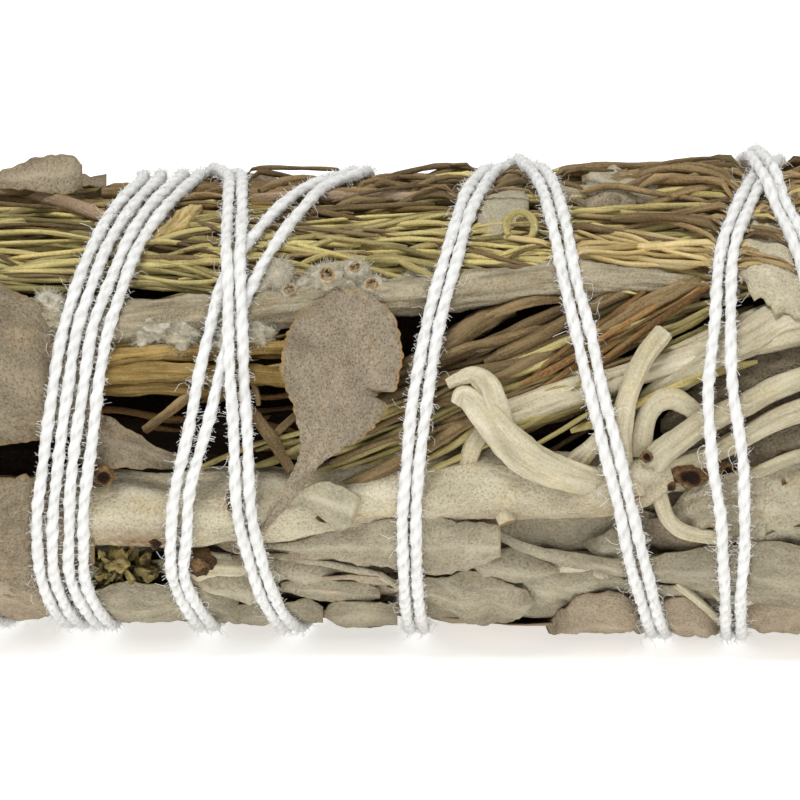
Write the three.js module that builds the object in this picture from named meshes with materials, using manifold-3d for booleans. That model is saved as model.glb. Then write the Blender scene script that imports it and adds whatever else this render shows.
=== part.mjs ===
// A bunch of dried white sage, tied round and round with one doubled cotton string and lying on its side.
// Millimetres, +Z up. +X runs along the bunch from the cut stems (butt) to the leaf tips, and -Y is the show
// side. The bunch is round: a place on it is either (x, angle round the axis, depth under the skin) or, on
// the show side, (along, across, depth) in a plane through the axis, seen by an eye EYE_DISTANCE away.
import * as THREE from "three";
import { mergeVertices } from "three/addons/utils/BufferGeometryUtils.js";
import Module from "manifold-3d";

const wasm = await Module();
wasm.setup();

// Driving dimensions
const AXIS_Z = 18.6; // the bunch's axis above the surface that it lies on
const EYE_DISTANCE = 420;
const EYE_ELEVATION = THREE.MathUtils.degToRad(12);
const SEEN_MIDDLE_X = -8.5; // the middle of the seen stretch, along the bunch
const SKIN = [
  [-75, 11.5], [-66, 14.6], [-56, 16.4], [-44, 17.3], [-32, 17.7], [-8, 18.1], [12, 18.6], [27, 19.0],
  [42, 18.4], [54, 16.0], [64, 12.6], [75, 8.0],
]; // x and the radius that the tied leaves reach there
const CORE_DEPTH = 3.9; // the packed middle lies this far under the skin
const FIT_GAP = 0.3; // between touching pieces
const SLIVER_SIZE = 0.06; // smaller steps in a cut surface are smoothed away
const NICK_RADIUS = 0.5;
const BLADE = 0.62; // thickness of a leaf
const STRING_RADIUS = 0.42;
const STRING_STANDOFF = 0.5; // the string's centre over the skin, at the corners of its straight lengths
const STRING_STEPS = 12; // straight lengths in one turn
const STRING_PAIR_GAP = 1.02; // between the two strands of the doubled string
const CROSSING_LIFT = 0.98; // one strand over another
const KNOT_ANGLE = 150; // degrees round the axis, on the far side
const KNOT_X = -57.5;

// The strings' passes over the show side, bottom to top: along, across, distance between the two strands.
const BAND_FIRST = [
  [-26.0, -18.0, 1.05], [-28.6, -14.0, 1.1], [-28.6, -8.5, 1.15], [-27.9, -2.7, 1.2], [-26.7, 5.4, 1.15],
  [-24.0, 12.9, 1.2], [-20.0, 17.7, 1.4],
];
const BAND_SECOND = [
  [-23.7, -18.0, 1.05], [-26.2, -14.0, 1.1], [-26.1, -8.5, 1.15], [-25.4, -2.7, 1.2], [-24.3, 5.4, 1.15],
  [-21.4, 12.9, 1.2], [-17.1, 17.7, 1.4],
];
const PASS_LEANING_LEFT = [
  [-15.5, -18.1, 1.05], [-18.0, -14.0, 1.05], [-17.7, -7.7, 1.1], [-16.6, -3.4, 1.3], [-15.1, 3.1, 1.7],
  [-13.1, 9.6, 2.4], [-8.9, 15.4, 2.0], [-6.6, 17.4, 1.3], [-3.4, 18.2, 1.1],
];
const PASS_UPRIGHT = [
  [-8.6, -18.5, 1.05], [-11.0, -14.9, 1.05], [-12.5, -9.9, 1.05], [-12.8, -5.6, 1.05], [-13.0, 0.2, 1.05],
  [-13.3, 6.5, 1.05], [-13.4, 12.1, 1.05], [-13.2, 17.8, 1.05],
];
const PASS_MIDDLE = [
  [1.4, -18.7, 1.05], [0.9, -15.6, 1.05], [0.7, -9.9, 1.05], [1.0, -5.6, 1.05], [1.5, 0.0, 1.05],
  [3.1, 7.9, 1.05], [4.6, 13.1, 1.05], [6.0, 17.0, 1.05], [7.3, 18.4, 1.05],
];
const PASS_LEANING_BACK = [
  [20.9, -18.8, 1.05], [19.8, -15.6, 1.05], [18.3, -9.2, 1.05], [16.5, -2.0, 1.05], [15.6, 1.6, 1.05],
  [13.6, 10.0, 1.05], [12.3, 16.2, 1.05], [11.1, 18.5, 1.05],
];
const PASS_RIGHT = [
  [26.9, -19.2, 1.05], [26.8, -15.6, 1.2], [26.9, -9.9, 1.9], [26.5, -5.6, 2.4], [25.8, 1.0, 1.85],
  [25.9, 6.5, 1.2], [26.3, 12.1, 1.05], [28.4, 17.1, 1.05], [29.7, 18.7, 1.05],
];
const PASS_FAR_RIGHT = [
  [40.3, -18.7, 1.05], [38.6, -13.0, 1.05], [36.0, -2.0, 1.05], [32.3, 12.7, 1.05], [30.7, 15.6, 1.05],
  [28.8, 18.6, 1.05],
];
const plainPass = (bottom, top) => [
  [bottom, -17.5, STRING_PAIR_GAP], [bottom * 0.65 + top * 0.35, -7, STRING_PAIR_GAP],
  [bottom * 0.35 + top * 0.65, 7, STRING_PAIR_GAP], [top, 17.3, STRING_PAIR_GAP],
];
const OUTGOING = [
  plainPass(-47.0, -44.0), plainPass(-38.5, -34.5), BAND_FIRST, BAND_SECOND, PASS_LEANING_LEFT, PASS_MIDDLE,
  PASS_RIGHT, plainPass(45.5, 50.5), plainPass(62.0, 64.5),
];
const RETURNING = [
  plainPass(65.5, 58.0), PASS_FAR_RIGHT, PASS_LEANING_BACK, PASS_UPRIGHT, plainPass(-33.4, -40.0),
  plainPass(-48.5, -49.5),
];

const axisPoint = (x, radius, angle) =>
  new THREE.Vector3(x, -radius * Math.cos(angle), AXIS_Z + radius * Math.sin(angle));
const outward = (p) => new THREE.Vector3(0, p.y, p.z - AXIS_Z).normalize();

// A repeatable draw, so that every build gives the same bunch.
let drawState = 1;
function draw(low, high) {
  drawState = (Math.imul(drawState, 1664525) + 1013904223) >>> 0;
  return low + ((high - low) * drawState) / 4294967296;
}

// The radius of the tied leaves at x, eased between the stations of SKIN.
function skinRadius(x) {
  const last = SKIN.length - 1;
  if (x <= SKIN[0][0]) return SKIN[0][1];
  if (x >= SKIN[last][0]) return SKIN[last][1];
  const i = SKIN.findIndex(([at]) => at > x) - 1;
  const [x0, r0] = SKIN[i];
  const [x1, r1] = SKIN[i + 1];
  const slope = (k) => {
    const low = SKIN[Math.max(k - 1, 0)];
    const high = SKIN[Math.min(k + 1, last)];
    return (high[1] - low[1]) / (high[0] - low[0]);
  };
  const span = x1 - x0;
  const t = (x - x0) / span;
  const ease = t * t * (3 - 2 * t);
  const swing = t * (1 - t) * span;
  return r0 + (r1 - r0) * ease + swing * ((1 - t) * slope(i) - t * slope(i + 1));
}

// A place under the skin, by x and the angle in degrees: 0 faces -Y, 90 is the top, -90 the bottom.
const placed = (x, degrees, depth) => axisPoint(x, skinRadius(x) - depth, THREE.MathUtils.degToRad(degrees));

// A place on the show side, seen along and across from the middle of the view: x, angle and depth.
function seenPlace(along, across, depth) {
  let shrink = 1;
  let x = 0;
  let lean = 0;
  for (let pass = 0; pass < 4; pass++) {
    x = SEEN_MIDDLE_X + along * shrink;
    const radius = skinRadius(x) - depth;
    lean = Math.asin(THREE.MathUtils.clamp((across * shrink) / radius, -0.998, 0.998));
    shrink = (EYE_DISTANCE - radius * Math.cos(lean)) / EYE_DISTANCE;
  }
  return { x, degrees: THREE.MathUtils.radToDeg(lean + EYE_ELEVATION) };
}
function seen(along, across, depth) {
  const { x, degrees } = seenPlace(along, across, depth);
  return placed(x, degrees, depth);
}

// Solids
function solidOf(positions, faces) {
  const geometry = new THREE.BufferGeometry();
  geometry.setAttribute("position", new THREE.Float32BufferAttribute(positions, 3));
  geometry.setIndex(faces);
  return fromGeometry(geometry);
}
function fromGeometry(geometry) {
  const bare = geometry.clone();
  bare.deleteAttribute("normal");
  bare.deleteAttribute("uv");
  const merged = mergeVertices(bare, 1e-4);
  const made = new wasm.Manifold(
    new wasm.Mesh({
      numProp: 3,
      vertProperties: new Float32Array(merged.attributes.position.array),
      triVerts: new Uint32Array(merged.index.array),
    }),
  );
  return made;
}
function geometryOf(solid) {
  const mesh = solid.getMesh();
  const geometry = new THREE.BufferGeometry();
  geometry.setAttribute("position", new THREE.BufferAttribute(new Float32Array(mesh.vertProperties), 3));
  geometry.setIndex(new THREE.BufferAttribute(new Uint32Array(mesh.triVerts), 1));
  const flat = geometry.toNonIndexed();
  flat.computeVertexNormals();
  return flat;
}
// The places where two edges of the surface lie on each other once its points are welded.
function pinchedPlaces(solid) {
  const bare = geometryOf(solid);
  bare.deleteAttribute("normal");
  const welded = mergeVertices(bare, 1e-3);
  const corners = welded.index.array;
  const uses = new Map();
  for (let i = 0; i < corners.length; i += 3) {
    const triangle = [...corners.slice(i, i + 3)];
    if (new Set(triangle).size < 3) continue; // welded away
    triangle.forEach((corner, k) => {
      const pair = [corner, triangle[(k + 1) % 3]].sort((a, b) => a - b).join(" ");
      uses.set(pair, (uses.get(pair) ?? 0) + 1);
    });
  }
  return [...uses].filter(([, count]) => count !== 2).map(([pair]) => {
    const [from, to] = pair.split(" ").map((corner) =>
      new THREE.Vector3().fromBufferAttribute(welded.attributes.position, Number(corner)),
    );
    return from.add(to).multiplyScalar(0.5);
  });
}
// The solid with its smallest slivers smoothed away, and a small nick wherever it would pinch to nothing.
function tidied(solid) {
  let whole = largest(solid.simplify(SLIVER_SIZE));
  for (let round = 0; round < 8; round++) {
    const places = pinchedPlaces(whole);
    if (places.length === 0) return whole;
    const nicks = places.map((p) => {
      const nick = new THREE.OctahedronGeometry(NICK_RADIUS, 0).rotateX(round + 0.4);
      return fromGeometry(nick.translate(p.x, p.y, p.z));
    });
    whole = largest(largest(whole.subtract(fuse(nicks))).simplify(SLIVER_SIZE));
  }
  return whole;
}
const fuse = (solids) => wasm.Manifold.union(solids);
const largest = (solid) => solid.decompose().sort((a, b) => b.volume() - a.volume())[0];

// Rings of points, all with the same count, joined into one closed skin with flat ends.
function skinned(rings) {
  const sides = rings[0].length;
  const positions = rings.flat().flatMap((p) => [p.x, p.y, p.z]);
  const faces = [];
  for (let i = 0; i + 1 < rings.length; i++) {
    for (let k = 0; k < sides; k++) {
      const a = i * sides + k;
      const b = i * sides + ((k + 1) % sides);
      faces.push(a, b, a + sides, b, b + sides, a + sides);
    }
  }
  const lastRing = (rings.length - 1) * sides;
  for (let k = 1; k + 1 < sides; k++) {
    faces.push(0, k + 1, k);
    faces.push(lastRing, lastRing + k, lastRing + k + 1);
  }
  return solidOf(positions, faces);
}

// A round rod through the points, with a radius at each.
function rod(points, radii, sides) {
  const tangents = points.map((_, i) =>
    points[Math.min(i + 1, points.length - 1)].clone().sub(points[Math.max(i - 1, 0)]).normalize(),
  );
  let across = outward(points[0]).projectOnPlane(tangents[0]).normalize();
  const rings = points.map((p, i) => {
    across = across.clone().projectOnPlane(tangents[i]).normalize();
    const side = tangents[i].clone().cross(across);
    return Array.from({ length: sides }, (_, k) => {
      const turn = (2 * Math.PI * k) / sides;
      return p
        .clone()
        .addScaledVector(across, radii[i] * Math.cos(turn))
        .addScaledVector(side, radii[i] * Math.sin(turn));
    });
  });
  return skinned(rings);
}

// A smooth rod through stations of [point, radius], with `steps` lengths between each two stations.
function smoothRod(stations, { sides = 6, steps = 2, grow = 0 } = {}) {
  const curve = new THREE.CatmullRomCurve3(stations.map(([p]) => p));
  const count = (stations.length - 1) * steps;
  const points = [];
  const radii = [];
  for (let i = 0; i <= count; i++) {
    const u = i / steps;
    const k = Math.min(Math.floor(u), stations.length - 2);
    points.push(curve.getPoint(i / count));
    radii.push(THREE.MathUtils.lerp(stations[k][1], stations[k + 1][1], u - k) + grow);
  }
  return rod(points, radii, sides);
}
const seenRod = (stations, options) =>
  smoothRod(stations.map(([along, across, depth, radius]) => [seen(along, across, depth), radius]), options);
const placedRod = (stations, options) =>
  smoothRod(stations.map(([x, degrees, depth, radius]) => [placed(x, degrees, depth), radius]), options);

// A leaf's blade between two edges, arched up along its middle, split alike on both faces.
function blade(edgeA, edgeB, { arch = 0.35, grow = 0, thickness = BLADE } = {}) {
  const half = thickness / 2 + grow;
  const last = edgeA.length - 1;
  const rings = edgeA.map((a0, i) => {
    const b0 = edgeB[i];
    const spread = a0.clone().sub(b0).normalize().multiplyScalar(grow);
    const before = Math.max(i - 1, 0);
    const after = Math.min(i + 1, last);
    const run = edgeA[after].clone().add(edgeB[after]).sub(edgeA[before]).sub(edgeB[before]).normalize();
    run.multiplyScalar(i === 0 ? -grow : i === last ? grow : 0);
    const a = a0.clone().add(spread).add(run);
    const b = b0.clone().sub(spread).add(run);
    const width = a.distanceTo(b);
    const middle = a.clone().add(b).multiplyScalar(0.5);
    middle.addScaledVector(outward(middle), Math.min(arch, width * 0.18));
    const lifted = (p, by) => p.clone().addScaledVector(outward(p), by);
    const across = arch === 0 ? [a, b] : [a, middle, b];
    return [...across.map((p) => lifted(p, half)), ...across.reverse().map((p) => lifted(p, -half))];
  });
  return facingOut(bladeFaces(rings));
}
// Rings whose first half of points is the upper face and whose second half is the lower face, coming back.
function bladeFaces(rings) {
  const count = rings[0].length;
  const row = count / 2;
  const positions = rings.flat().flatMap((p) => [p.x, p.y, p.z]);
  const faces = [];
  const quad = (a, b, c, d) => faces.push(a, b, d, b, c, d);
  for (let i = 0; i + 1 < rings.length; i++) {
    const s = i * count;
    const t = s + count;
    for (let k = 0; k + 1 < row; k++) {
      quad(s + k, s + k + 1, t + k + 1, t + k);
      // The lower face is cut along the same diagonals as the upper one.
      const [a, b, c, d] = [s + count - 1 - k, s + count - 2 - k, t + count - 2 - k, t + count - 1 - k];
      faces.push(a, d, b, b, d, c);
    }
    quad(s + row - 1, s + row, t + row, t + row - 1);
    quad(s + count - 1, s, t, t + count - 1);
  }
  const cap = (s, flip) => {
    const add = (a, b, c) => (flip ? faces.push(a, c, b) : faces.push(a, b, c));
    for (let k = 0; k + 1 < row; k++) {
      add(s + k, s + count - 1 - k, s + count - 2 - k);
      add(s + k, s + count - 2 - k, s + k + 1);
    }
  };
  cap(0, false);
  cap((rings.length - 1) * count, true);
  return { positions, faces };
}
function facingOut({ positions, faces }) {
  const made = solidOf(positions, faces);
  if (made.volume() > 0) return made;
  for (let i = 0; i < faces.length; i += 3) [faces[i + 1], faces[i + 2]] = [faces[i + 2], faces[i + 1]];
  return solidOf(positions, faces);
}
// A blade drawn on the show side: stations of [along, low edge, high edge, depth low, depth high].
function seenBlade(stations, sink, options) {
  const low = stations.map(([along, across, , depth]) => seen(along, across, depth + sink));
  const high = stations.map(([along, , across, , depth]) => seen(along, across, depth + sink));
  return blade(low, high, options);
}

// The doubled cotton string
function stringStations(passes) {
  // One list of {turn, x, gap}, with the turn in degrees and always rising, for all the passes.
  const stations = [];
  passes.forEach((pass, index) => {
    for (const [along, across, gap] of pass) {
      const { x, degrees } = seenPlace(along, across, -STRING_STANDOFF);
      stations.push({ turn: index * 360 + degrees, x, gap });
    }
  });
  return stations;
}
const stringLine = (() => {
  const passes = [...OUTGOING, ...RETURNING];
  const stations = stringStations(passes);
  const lastTurn = (passes.length - 1) * 360 + KNOT_ANGLE;
  stations.unshift({ turn: KNOT_ANGLE - 360, x: KNOT_X, gap: STRING_PAIR_GAP });
  stations.push({ turn: lastTurn, x: KNOT_X + 1.2, gap: STRING_PAIR_GAP });
  const step = 360 / STRING_STEPS;
  const samples = [];
  const count = Math.round((lastTurn - (KNOT_ANGLE - 360)) / step);
  for (let i = 0; i <= count; i++) {
    const turn = KNOT_ANGLE - 360 + (i * (lastTurn - (KNOT_ANGLE - 360))) / count;
    let k = stations.findIndex((s) => s.turn > turn) - 1;
    if (k < 0) k = stations.length - 2;
    const from = stations[k];
    const to = stations[k + 1];
    const t = (turn - from.turn) / (to.turn - from.turn);
    const eased = to.turn - from.turn > 60 ? t * t * (3 - 2 * t) * 0.5 + t * 0.5 : t;
    samples.push({
      turn,
      x: THREE.MathUtils.lerp(from.x, to.x, eased),
      gap: THREE.MathUtils.lerp(from.gap, to.gap, t),
      returning: turn > OUTGOING.length * 360 - 90,
    });
  }
  return samples;
})();
// How much a sample of one layer has to make way for the other layer: 1 at a crossing, 0 away from it.
function crossing(index) {
  const here = stringLine[index];
  let most = 0;
  for (let other = index % STRING_STEPS; other < stringLine.length; other += STRING_STEPS) {
    const there = stringLine[other];
    if (there.returning === here.returning) continue;
    const near = (k, list) => list[THREE.MathUtils.clamp(k, 0, list.length - 1)].x;
    const slide = Math.abs(
      near(index + 1, stringLine) - here.x - (near(other + 1, stringLine) - there.x),
    );
    const clear = Math.abs(here.x - there.x) - (1.6 + (here.gap + there.gap) / 2 + slide);
    most = Math.max(most, THREE.MathUtils.clamp(1 - clear / 2.5, 0, 1));
  }
  return most * most * (3 - 2 * most);
}
function stringStrand(side, grow) {
  const points = stringLine.map(({ turn, x, gap, returning }, index) => {
    const angle = THREE.MathUtils.degToRad(turn);
    const under = THREE.MathUtils.clamp(1 - (1 + Math.sin(angle)) / 0.16, 0, 1);
    const give = crossing(index) * CROSSING_LIFT;
    const lift = returning ? give * (1 - under) : 0;
    const place = x + (side * gap) / 2;
    const p = axisPoint(place, skinRadius(place) + STRING_STANDOFF + lift, angle);
    p.z = Math.max(p.z, STRING_RADIUS + 0.02 + (returning ? 0 : give * under));
    return p;
  });
  return rod(points, points.map(() => STRING_RADIUS + grow), 4);
}
function knot(grow) {
  const tie = placed(KNOT_X + 0.5, KNOT_ANGLE, -1.5);
  const ball = new THREE.TorusKnotGeometry(0.95, 0.44 + grow, 24, 4, 2, 3);
  ball.rotateX(THREE.MathUtils.degToRad(KNOT_ANGLE - 90));
  ball.translate(tie.x, tie.y, tie.z);
  const tail = (towards, end) =>
    placedRod(
      [
        [KNOT_X + 0.5, KNOT_ANGLE, -1.4, STRING_RADIUS],
        [KNOT_X + 0.5 + towards * 3, KNOT_ANGLE + end * 0.4, -1.5, STRING_RADIUS],
        [KNOT_X + 0.5 + towards * 6, KNOT_ANGLE + end, -0.8, STRING_RADIUS],
        [KNOT_X + 0.5 + towards * 10, KNOT_ANGLE + end * 1.2, -0.8, STRING_RADIUS],
      ],
      { sides: 5, steps: 1, grow },
    );
  return fuse([fromGeometry(ball), tail(-1, 22), tail(-0.9, -16)]);
}
const cottonString = (grow) => fuse([stringStrand(1, grow), stringStrand(-1, grow), knot(grow)]);

// The thick felted stem on the show side, with its leaf stalks
const MAIN_STEM = [
  [-66.2, -8.0, 3.8, 2.6], [-50.0, -8.6, 3.9, 2.9], [-36.0, -9.0, 3.9, 2.9], [-25.0, -8.9, 3.9, 2.9],
  [-13.7, -9.0, 3.8, 2.8], [-3.2, -7.8, 3.8, 2.8], [2.4, -7.3, 3.75, 2.75], [8.1, -6.6, 3.4, 2.45],
  [12.9, -7.0, 3.4, 2.4], [16.9, -7.1, 3.2, 2.2], [20.4, -6.4, 2.9, 1.9],
];
const STALKS = {
  curl: [
    [16.6, -7.0, 1.9, 0.9], [14.1, -6.0, 0.4, 1.15], [11.3, -4.4, -0.5, 1.3], [8.9, -2.4, -0.9, 1.15],
    [7.3, 0.0, -1.1, 0.95], [6.0, 1.4, -1.0, 0.75], [4.2, 1.4, -0.7, 0.5],
  ],
  longRod: [
    [5.5, -5.4, 2.6, 0.9], [6.4, -3.1, 1.8, 0.8], [8.0, -1.5, 1.8, 0.85], [12.9, 0.3, 1.8, 0.9],
    [17.7, 1.6, 1.8, 0.9], [22.0, 3.7, 1.8, 0.85], [27.4, 5.4, 1.8, 0.9], [33.5, 6.6, 1.9, 1.0],
    [42.0, 7.2, 2.0, 1.0], [52.0, 7.4, 2.4, 0.8],
  ],
  lowRod: [
    [18.6, -4.4, 2.8, 0.9], [19.9, 0.0, 2.3, 0.95], [24.4, 2.4, 2.1, 1.1], [28.5, 4.0, 2.2, 1.3],
    [34.0, 5.6, 2.2, 1.3], [42.0, 5.4, 2.0, 1.0],
  ],
  uprightStub: [
    [18.2, -5.2, 2.0, 0.8], [18.4, -2.4, 0.8, 0.75], [19.0, 0.4, 0.3, 0.75], [20.2, 3.2, 0.2, 0.75],
    [21.6, 5.5, 0.4, 0.7],
  ],
  risingRod: [
    [19.6, -5.9, 2.4, 1.2], [22.6, -3.2, 1.8, 0.95], [24.6, -1.6, 1.75, 0.85], [28.0, 0.0, 1.7, 0.8],
    [33.0, 2.6, 1.8, 0.8], [40.0, 3.4, 2.0, 0.7],
  ],
  lowerRising: [
    [20.2, -6.2, 2.4, 1.0], [24.2, -4.6, 2.0, 0.8], [27.8, -3.0, 1.8, 0.8], [32.6, -0.6, 1.7, 0.8],
    [40.0, 1.0, 1.8, 0.7], [50.0, 1.6, 2.0, 0.6],
  ],
  hook: [
    [20.8, -6.8, 2.4, 0.8], [21.4, -8.9, 1.6, 0.6], [22.4, -10.4, 1.5, 0.6], [24.4, -11.1, 1.6, 0.5],
    [26.0, -10.6, 1.9, 0.4],
  ],
  lowStub: [[8.8, -8.0, 1.8, 0.7], [8.5, -9.8, 0.9, 0.6]],
  nodeStub: [[18.6, -6.4, 1.4, 0.8], [19.4, -8.2, 0.8, 0.6]],
  leftStub: [[-12.5, -12.9, 2.2, 0.9], [-15.9, -13.2, 1.2, 1.1]],
};
const mainStem = (grow) =>
  fuse([
    seenRod(MAIN_STEM, { sides: 9, steps: 1, grow }),
    ...Object.values(STALKS).map((stations) => seenRod(stations, { sides: 5, steps: 1, grow })),
  ]);

// The grey twig with round woolly galls, each with the hole its insect left by
const GALL_TWIG = [
  [-58.0, 4.4, 2.6, 1.1], [-42.0, 4.8, 2.4, 1.3], [-27.4, 5.6, 2.4, 1.4], [-16.1, 6.6, 2.4, 1.4],
  [-4.8, 8.1, 2.3, 1.35], [4.0, 8.8, 2.4, 1.4], [12.9, 9.8, 2.4, 1.4], [22.0, 9.9, 2.4, 1.2],
  [31.0, 9.8, 2.6, 0.9],
];
const GALLS = [
  [-9.3, 9.1, 1.2, 1.2], [-5.7, 9.9, 1.2, 1.25], [-3.3, 10.3, 1.5, 0.95], [-2.1, 9.3, 1.1, 1.0],
];
const GALL_HOLE = 0.34;
function gallTwig(grow) {
  const ball = ([along, across, depth, radius]) => {
    const at = seen(along, across, depth);
    return fromGeometry(new THREE.DodecahedronGeometry(radius + grow, 0).translate(at.x, at.y, at.z));
  };
  const bore = ([along, across, depth, radius]) => {
    const ends = [seen(along, across, depth + radius * 0.3), seen(along, across, depth - radius - 1)];
    return rod(ends, [GALL_HOLE, GALL_HOLE], 6);
  };
  const body = fuse([seenRod(GALL_TWIG, { sides: 7, steps: 1, grow }), ...GALLS.map(ball)]);
  return grow ? body : body.subtract(fuse(GALLS.map(bore)));
}

// Leaves of the show side, each with its own outline
const FAN_LEAF = {
  stations: [
    [[-11.3, -10.4, 0.1], [-10.8, -10.6, 0.1]], [[-9.8, -7.9, -0.2], [-9.1, -8.4, -0.2]],
    [[-8.5, -5.7, -0.4], [-7.1, -6.6, -0.4]], [[-8.1, -3.6, -0.5], [-5.1, -5.2, -0.5]],
    [[-8.7, -0.8, -0.6], [-2.5, -3.2, -0.5]], [[-9.2, 1.8, -0.6], [-0.5, -0.6, -0.4]],
    [[-9.5, 3.6, -0.6], [-1.1, 1.4, -0.5]], [[-9.1, 5.6, -0.5], [0.2, 3.2, -0.4]],
    [[-8.5, 6.6, -0.5], [-0.3, 5.4, -0.5]], [[-7.8, 7.8, -0.4], [-1.0, 7.2, -0.4]],
    [[-6.6, 8.3, -0.4], [-2.3, 8.2, -0.4]], [[-5.3, 8.5, -0.4], [-3.6, 8.4, -0.4]],
  ],
};
function fanLeaf(grow) {
  const left = FAN_LEAF.stations.map(([a]) => seen(...a));
  const right = FAN_LEAF.stations.map(([, b]) => seen(...b));
  return blade(left, right, { arch: 0.5, grow });
}
// Stations of [along, low edge, high edge, depth at the low edge, depth at the high edge].
// Those that a string holds down lie deeper by HELD_DOWN.
const HELD_DOWN = 0.9;
const SHOW_LEAVES = {
  leaf_spear: [
    [-10.3, -12.0, -11.6, 0.7, 0.7], [-6.5, -12.5, -11.1, 0.6, 0.6], [-2.5, -13.1, -10.2, 0.5, 0.5],
    [1.5, -13.5, -9.5, 0.5, 0.5], [5.0, -12.9, -9.6, 0.5, 0.5], [7.7, -12.6, -10.4, 0.5, 0.6],
  ],
  leaf_oval: [
    [-9.9, -12.9, -12.6, 1.1, 1.1], [-5.0, -13.8, -13.4, 1.0, 1.0], [-0.8, -15.2, -14.1, 0.9, 0.9],
    [2.0, -16.9, -14.3, 0.7, 0.7], [5.5, -17.6, -13.9, 0.5, 0.6], [8.6, -17.3, -14.7, 0.5, 0.6],
    [10.6, -16.8, -16.2, 0.5, 0.6],
  ],
  leaf_ribbed: [
    [7.8, -11.2, -10.5, 0.7, 0.7], [12.0, -13.4, -12.5, 0.7, 0.7], [18.0, -14.2, -13.1, 0.7, 0.7],
    [22.6, -15.6, -12.6, 0.6, 0.7], [27.7, -16.3, -11.7, 0.6, 0.7], [33.0, -16.2, -11.2, 0.6, 0.7],
    [39.0, -15.2, -11.4, 0.6, 0.7], [44.0, -13.6, -12.4, 0.9, 0.9],
  ],
  leaf_pale_under: [
    [9.0, -14.6, -12.4, 2.0, 2.1], [12.9, -17.0, -14.2, 1.8, 2.1], [17.5, -17.1, -15.2, 1.8, 2.0],
    [22.0, -16.6, -15.6, 2.0, 2.0],
  ],
  leaf_folded: [
    [11.6, -19.2, -18.6, 0.8, 0.8], [14.5, -19.4, -17.0, 0.5, 0.7], [18.5, -19.5, -15.7, 0.5, 0.9],
    [23.5, -19.7, -16.2, 0.5, 0.8], [29.0, -19.8, -17.0, 0.5, 0.8], [34.0, -19.6, -18.2, 0.9, 0.9],
  ],
  leaf_grey_left: [
    [-38.0, -15.6, -10.0, 0.5, 0.5], [-33.0, -16.4, -6.4, 0.1, 0.1], [-29.0, -16.0, -6.2, 0.2, 0.2],
    [-26.6, -14.5, -8.0, 0.3, 0.3], [-24.6, -13.4, -9.2, 0.3, 0.3],
  ],
  leaf_broad_left: [
    [-42.0, 0.0, 3.0, 0.9, 0.9], [-38.0, -2.8, 7.4, 0.4, 0.5], [-33.0, -4.2, 8.8, 0.2, 0.3],
    [-29.6, -3.8, 7.6, 0.2, 0.3], [-27.2, -2.6, 5.2, 0.2, 0.3], [-25.8, -0.6, 3.0, 0.4, 0.4],
  ],
  leaf_tucked: [
    [-26.0, -4.4, -0.5, 1.2, 1.0], [-22.5, -5.4, -2.0, 1.0, 0.9], [-19.4, -5.8, -3.7, 1.0, 1.0],
    [-16.8, -5.5, -4.9, 1.5, 1.5],
  ],
  leaf_low_left: [
    [-25.4, -18.1, -15.9, 0.6, 0.6], [-21.5, -18.3, -14.9, 0.5, 0.5], [-17.5, -18.3, -14.7, 0.5, 0.5],
    [-13.2, -18.3, -15.3, 0.5, 0.5], [-10.4, -17.8, -16.6, 0.7, 0.7],
  ],
  leaf_torn_right: [
    [27.2, 11.6, 13.2, 0.8, 0.8], [28.8, 8.3, 14.3, 0.6, 0.6], [31.0, 6.5, 14.7, 0.4, 0.5],
    [34.5, 6.4, 14.2, 0.4, 0.5], [38.5, 8.2, 12.6, 0.7, 0.7],
  ],
  leaf_scrap_top: [
    [6.2, 13.4, 17.2, 0.6, 0.6], [8.0, 13.2, 17.6, 0.4, 0.5], [10.2, 13.4, 16.9, 0.6, 0.6],
  ],
  leaf_shred: [
    [-9.2, -8.8, -8.2, -0.1, -0.1], [-7.0, -9.0, -6.9, -0.1, -0.1], [-5.0, -10.2, -6.7, -0.1, -0.1],
    [-3.2, -9.8, -7.8, -0.1, -0.1],
  ],
};

// Twigs of the show side and of the top
const TWIGS = {
  straw_rod: [
    [-52.0, 0.6, 2.2, 0.6], [-30.0, 2.0, 1.9, 0.75], [-22.0, 2.9, 1.6, 0.75], [-12.0, 3.6, 1.5, 0.75],
    [-5.0, 3.4, 1.6, 0.7], [3.0, 3.0, 2.4, 0.6],
  ],
  straw_rod_lower: [
    [-48.0, -1.0, 2.4, 0.6], [-28.0, 0.4, 1.9, 0.7], [-20.0, 1.4, 1.8, 0.75], [-11.0, 1.8, 1.6, 0.75],
    [-4.0, 1.6, 1.8, 0.65], [4.0, 0.8, 2.6, 0.5],
  ],
  red_twig: [
    [3.6, -1.6, 2.6, 0.7], [9.5, 1.9, 2.2, 0.9], [15.5, 5.0, 1.7, 1.15], [20.0, 7.6, 1.5, 1.2],
    [24.5, 9.8, 1.7, 0.9], [30.0, 11.0, 2.3, 0.6],
  ],
  top_twig_rosy: [
    [-50.0, 15.4, 1.9, 0.6], [-34.0, 15.2, 1.8, 0.8], [-13.0, 15.9, 1.6, 0.65], [-3.0, 16.0, 1.6, 0.6],
    [5.0, 15.8, 1.6, 0.6], [14.0, 16.0, 1.7, 0.6], [24.0, 15.2, 1.8, 0.75], [40.0, 14.2, 2.0, 0.6],
  ],
};

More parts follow.
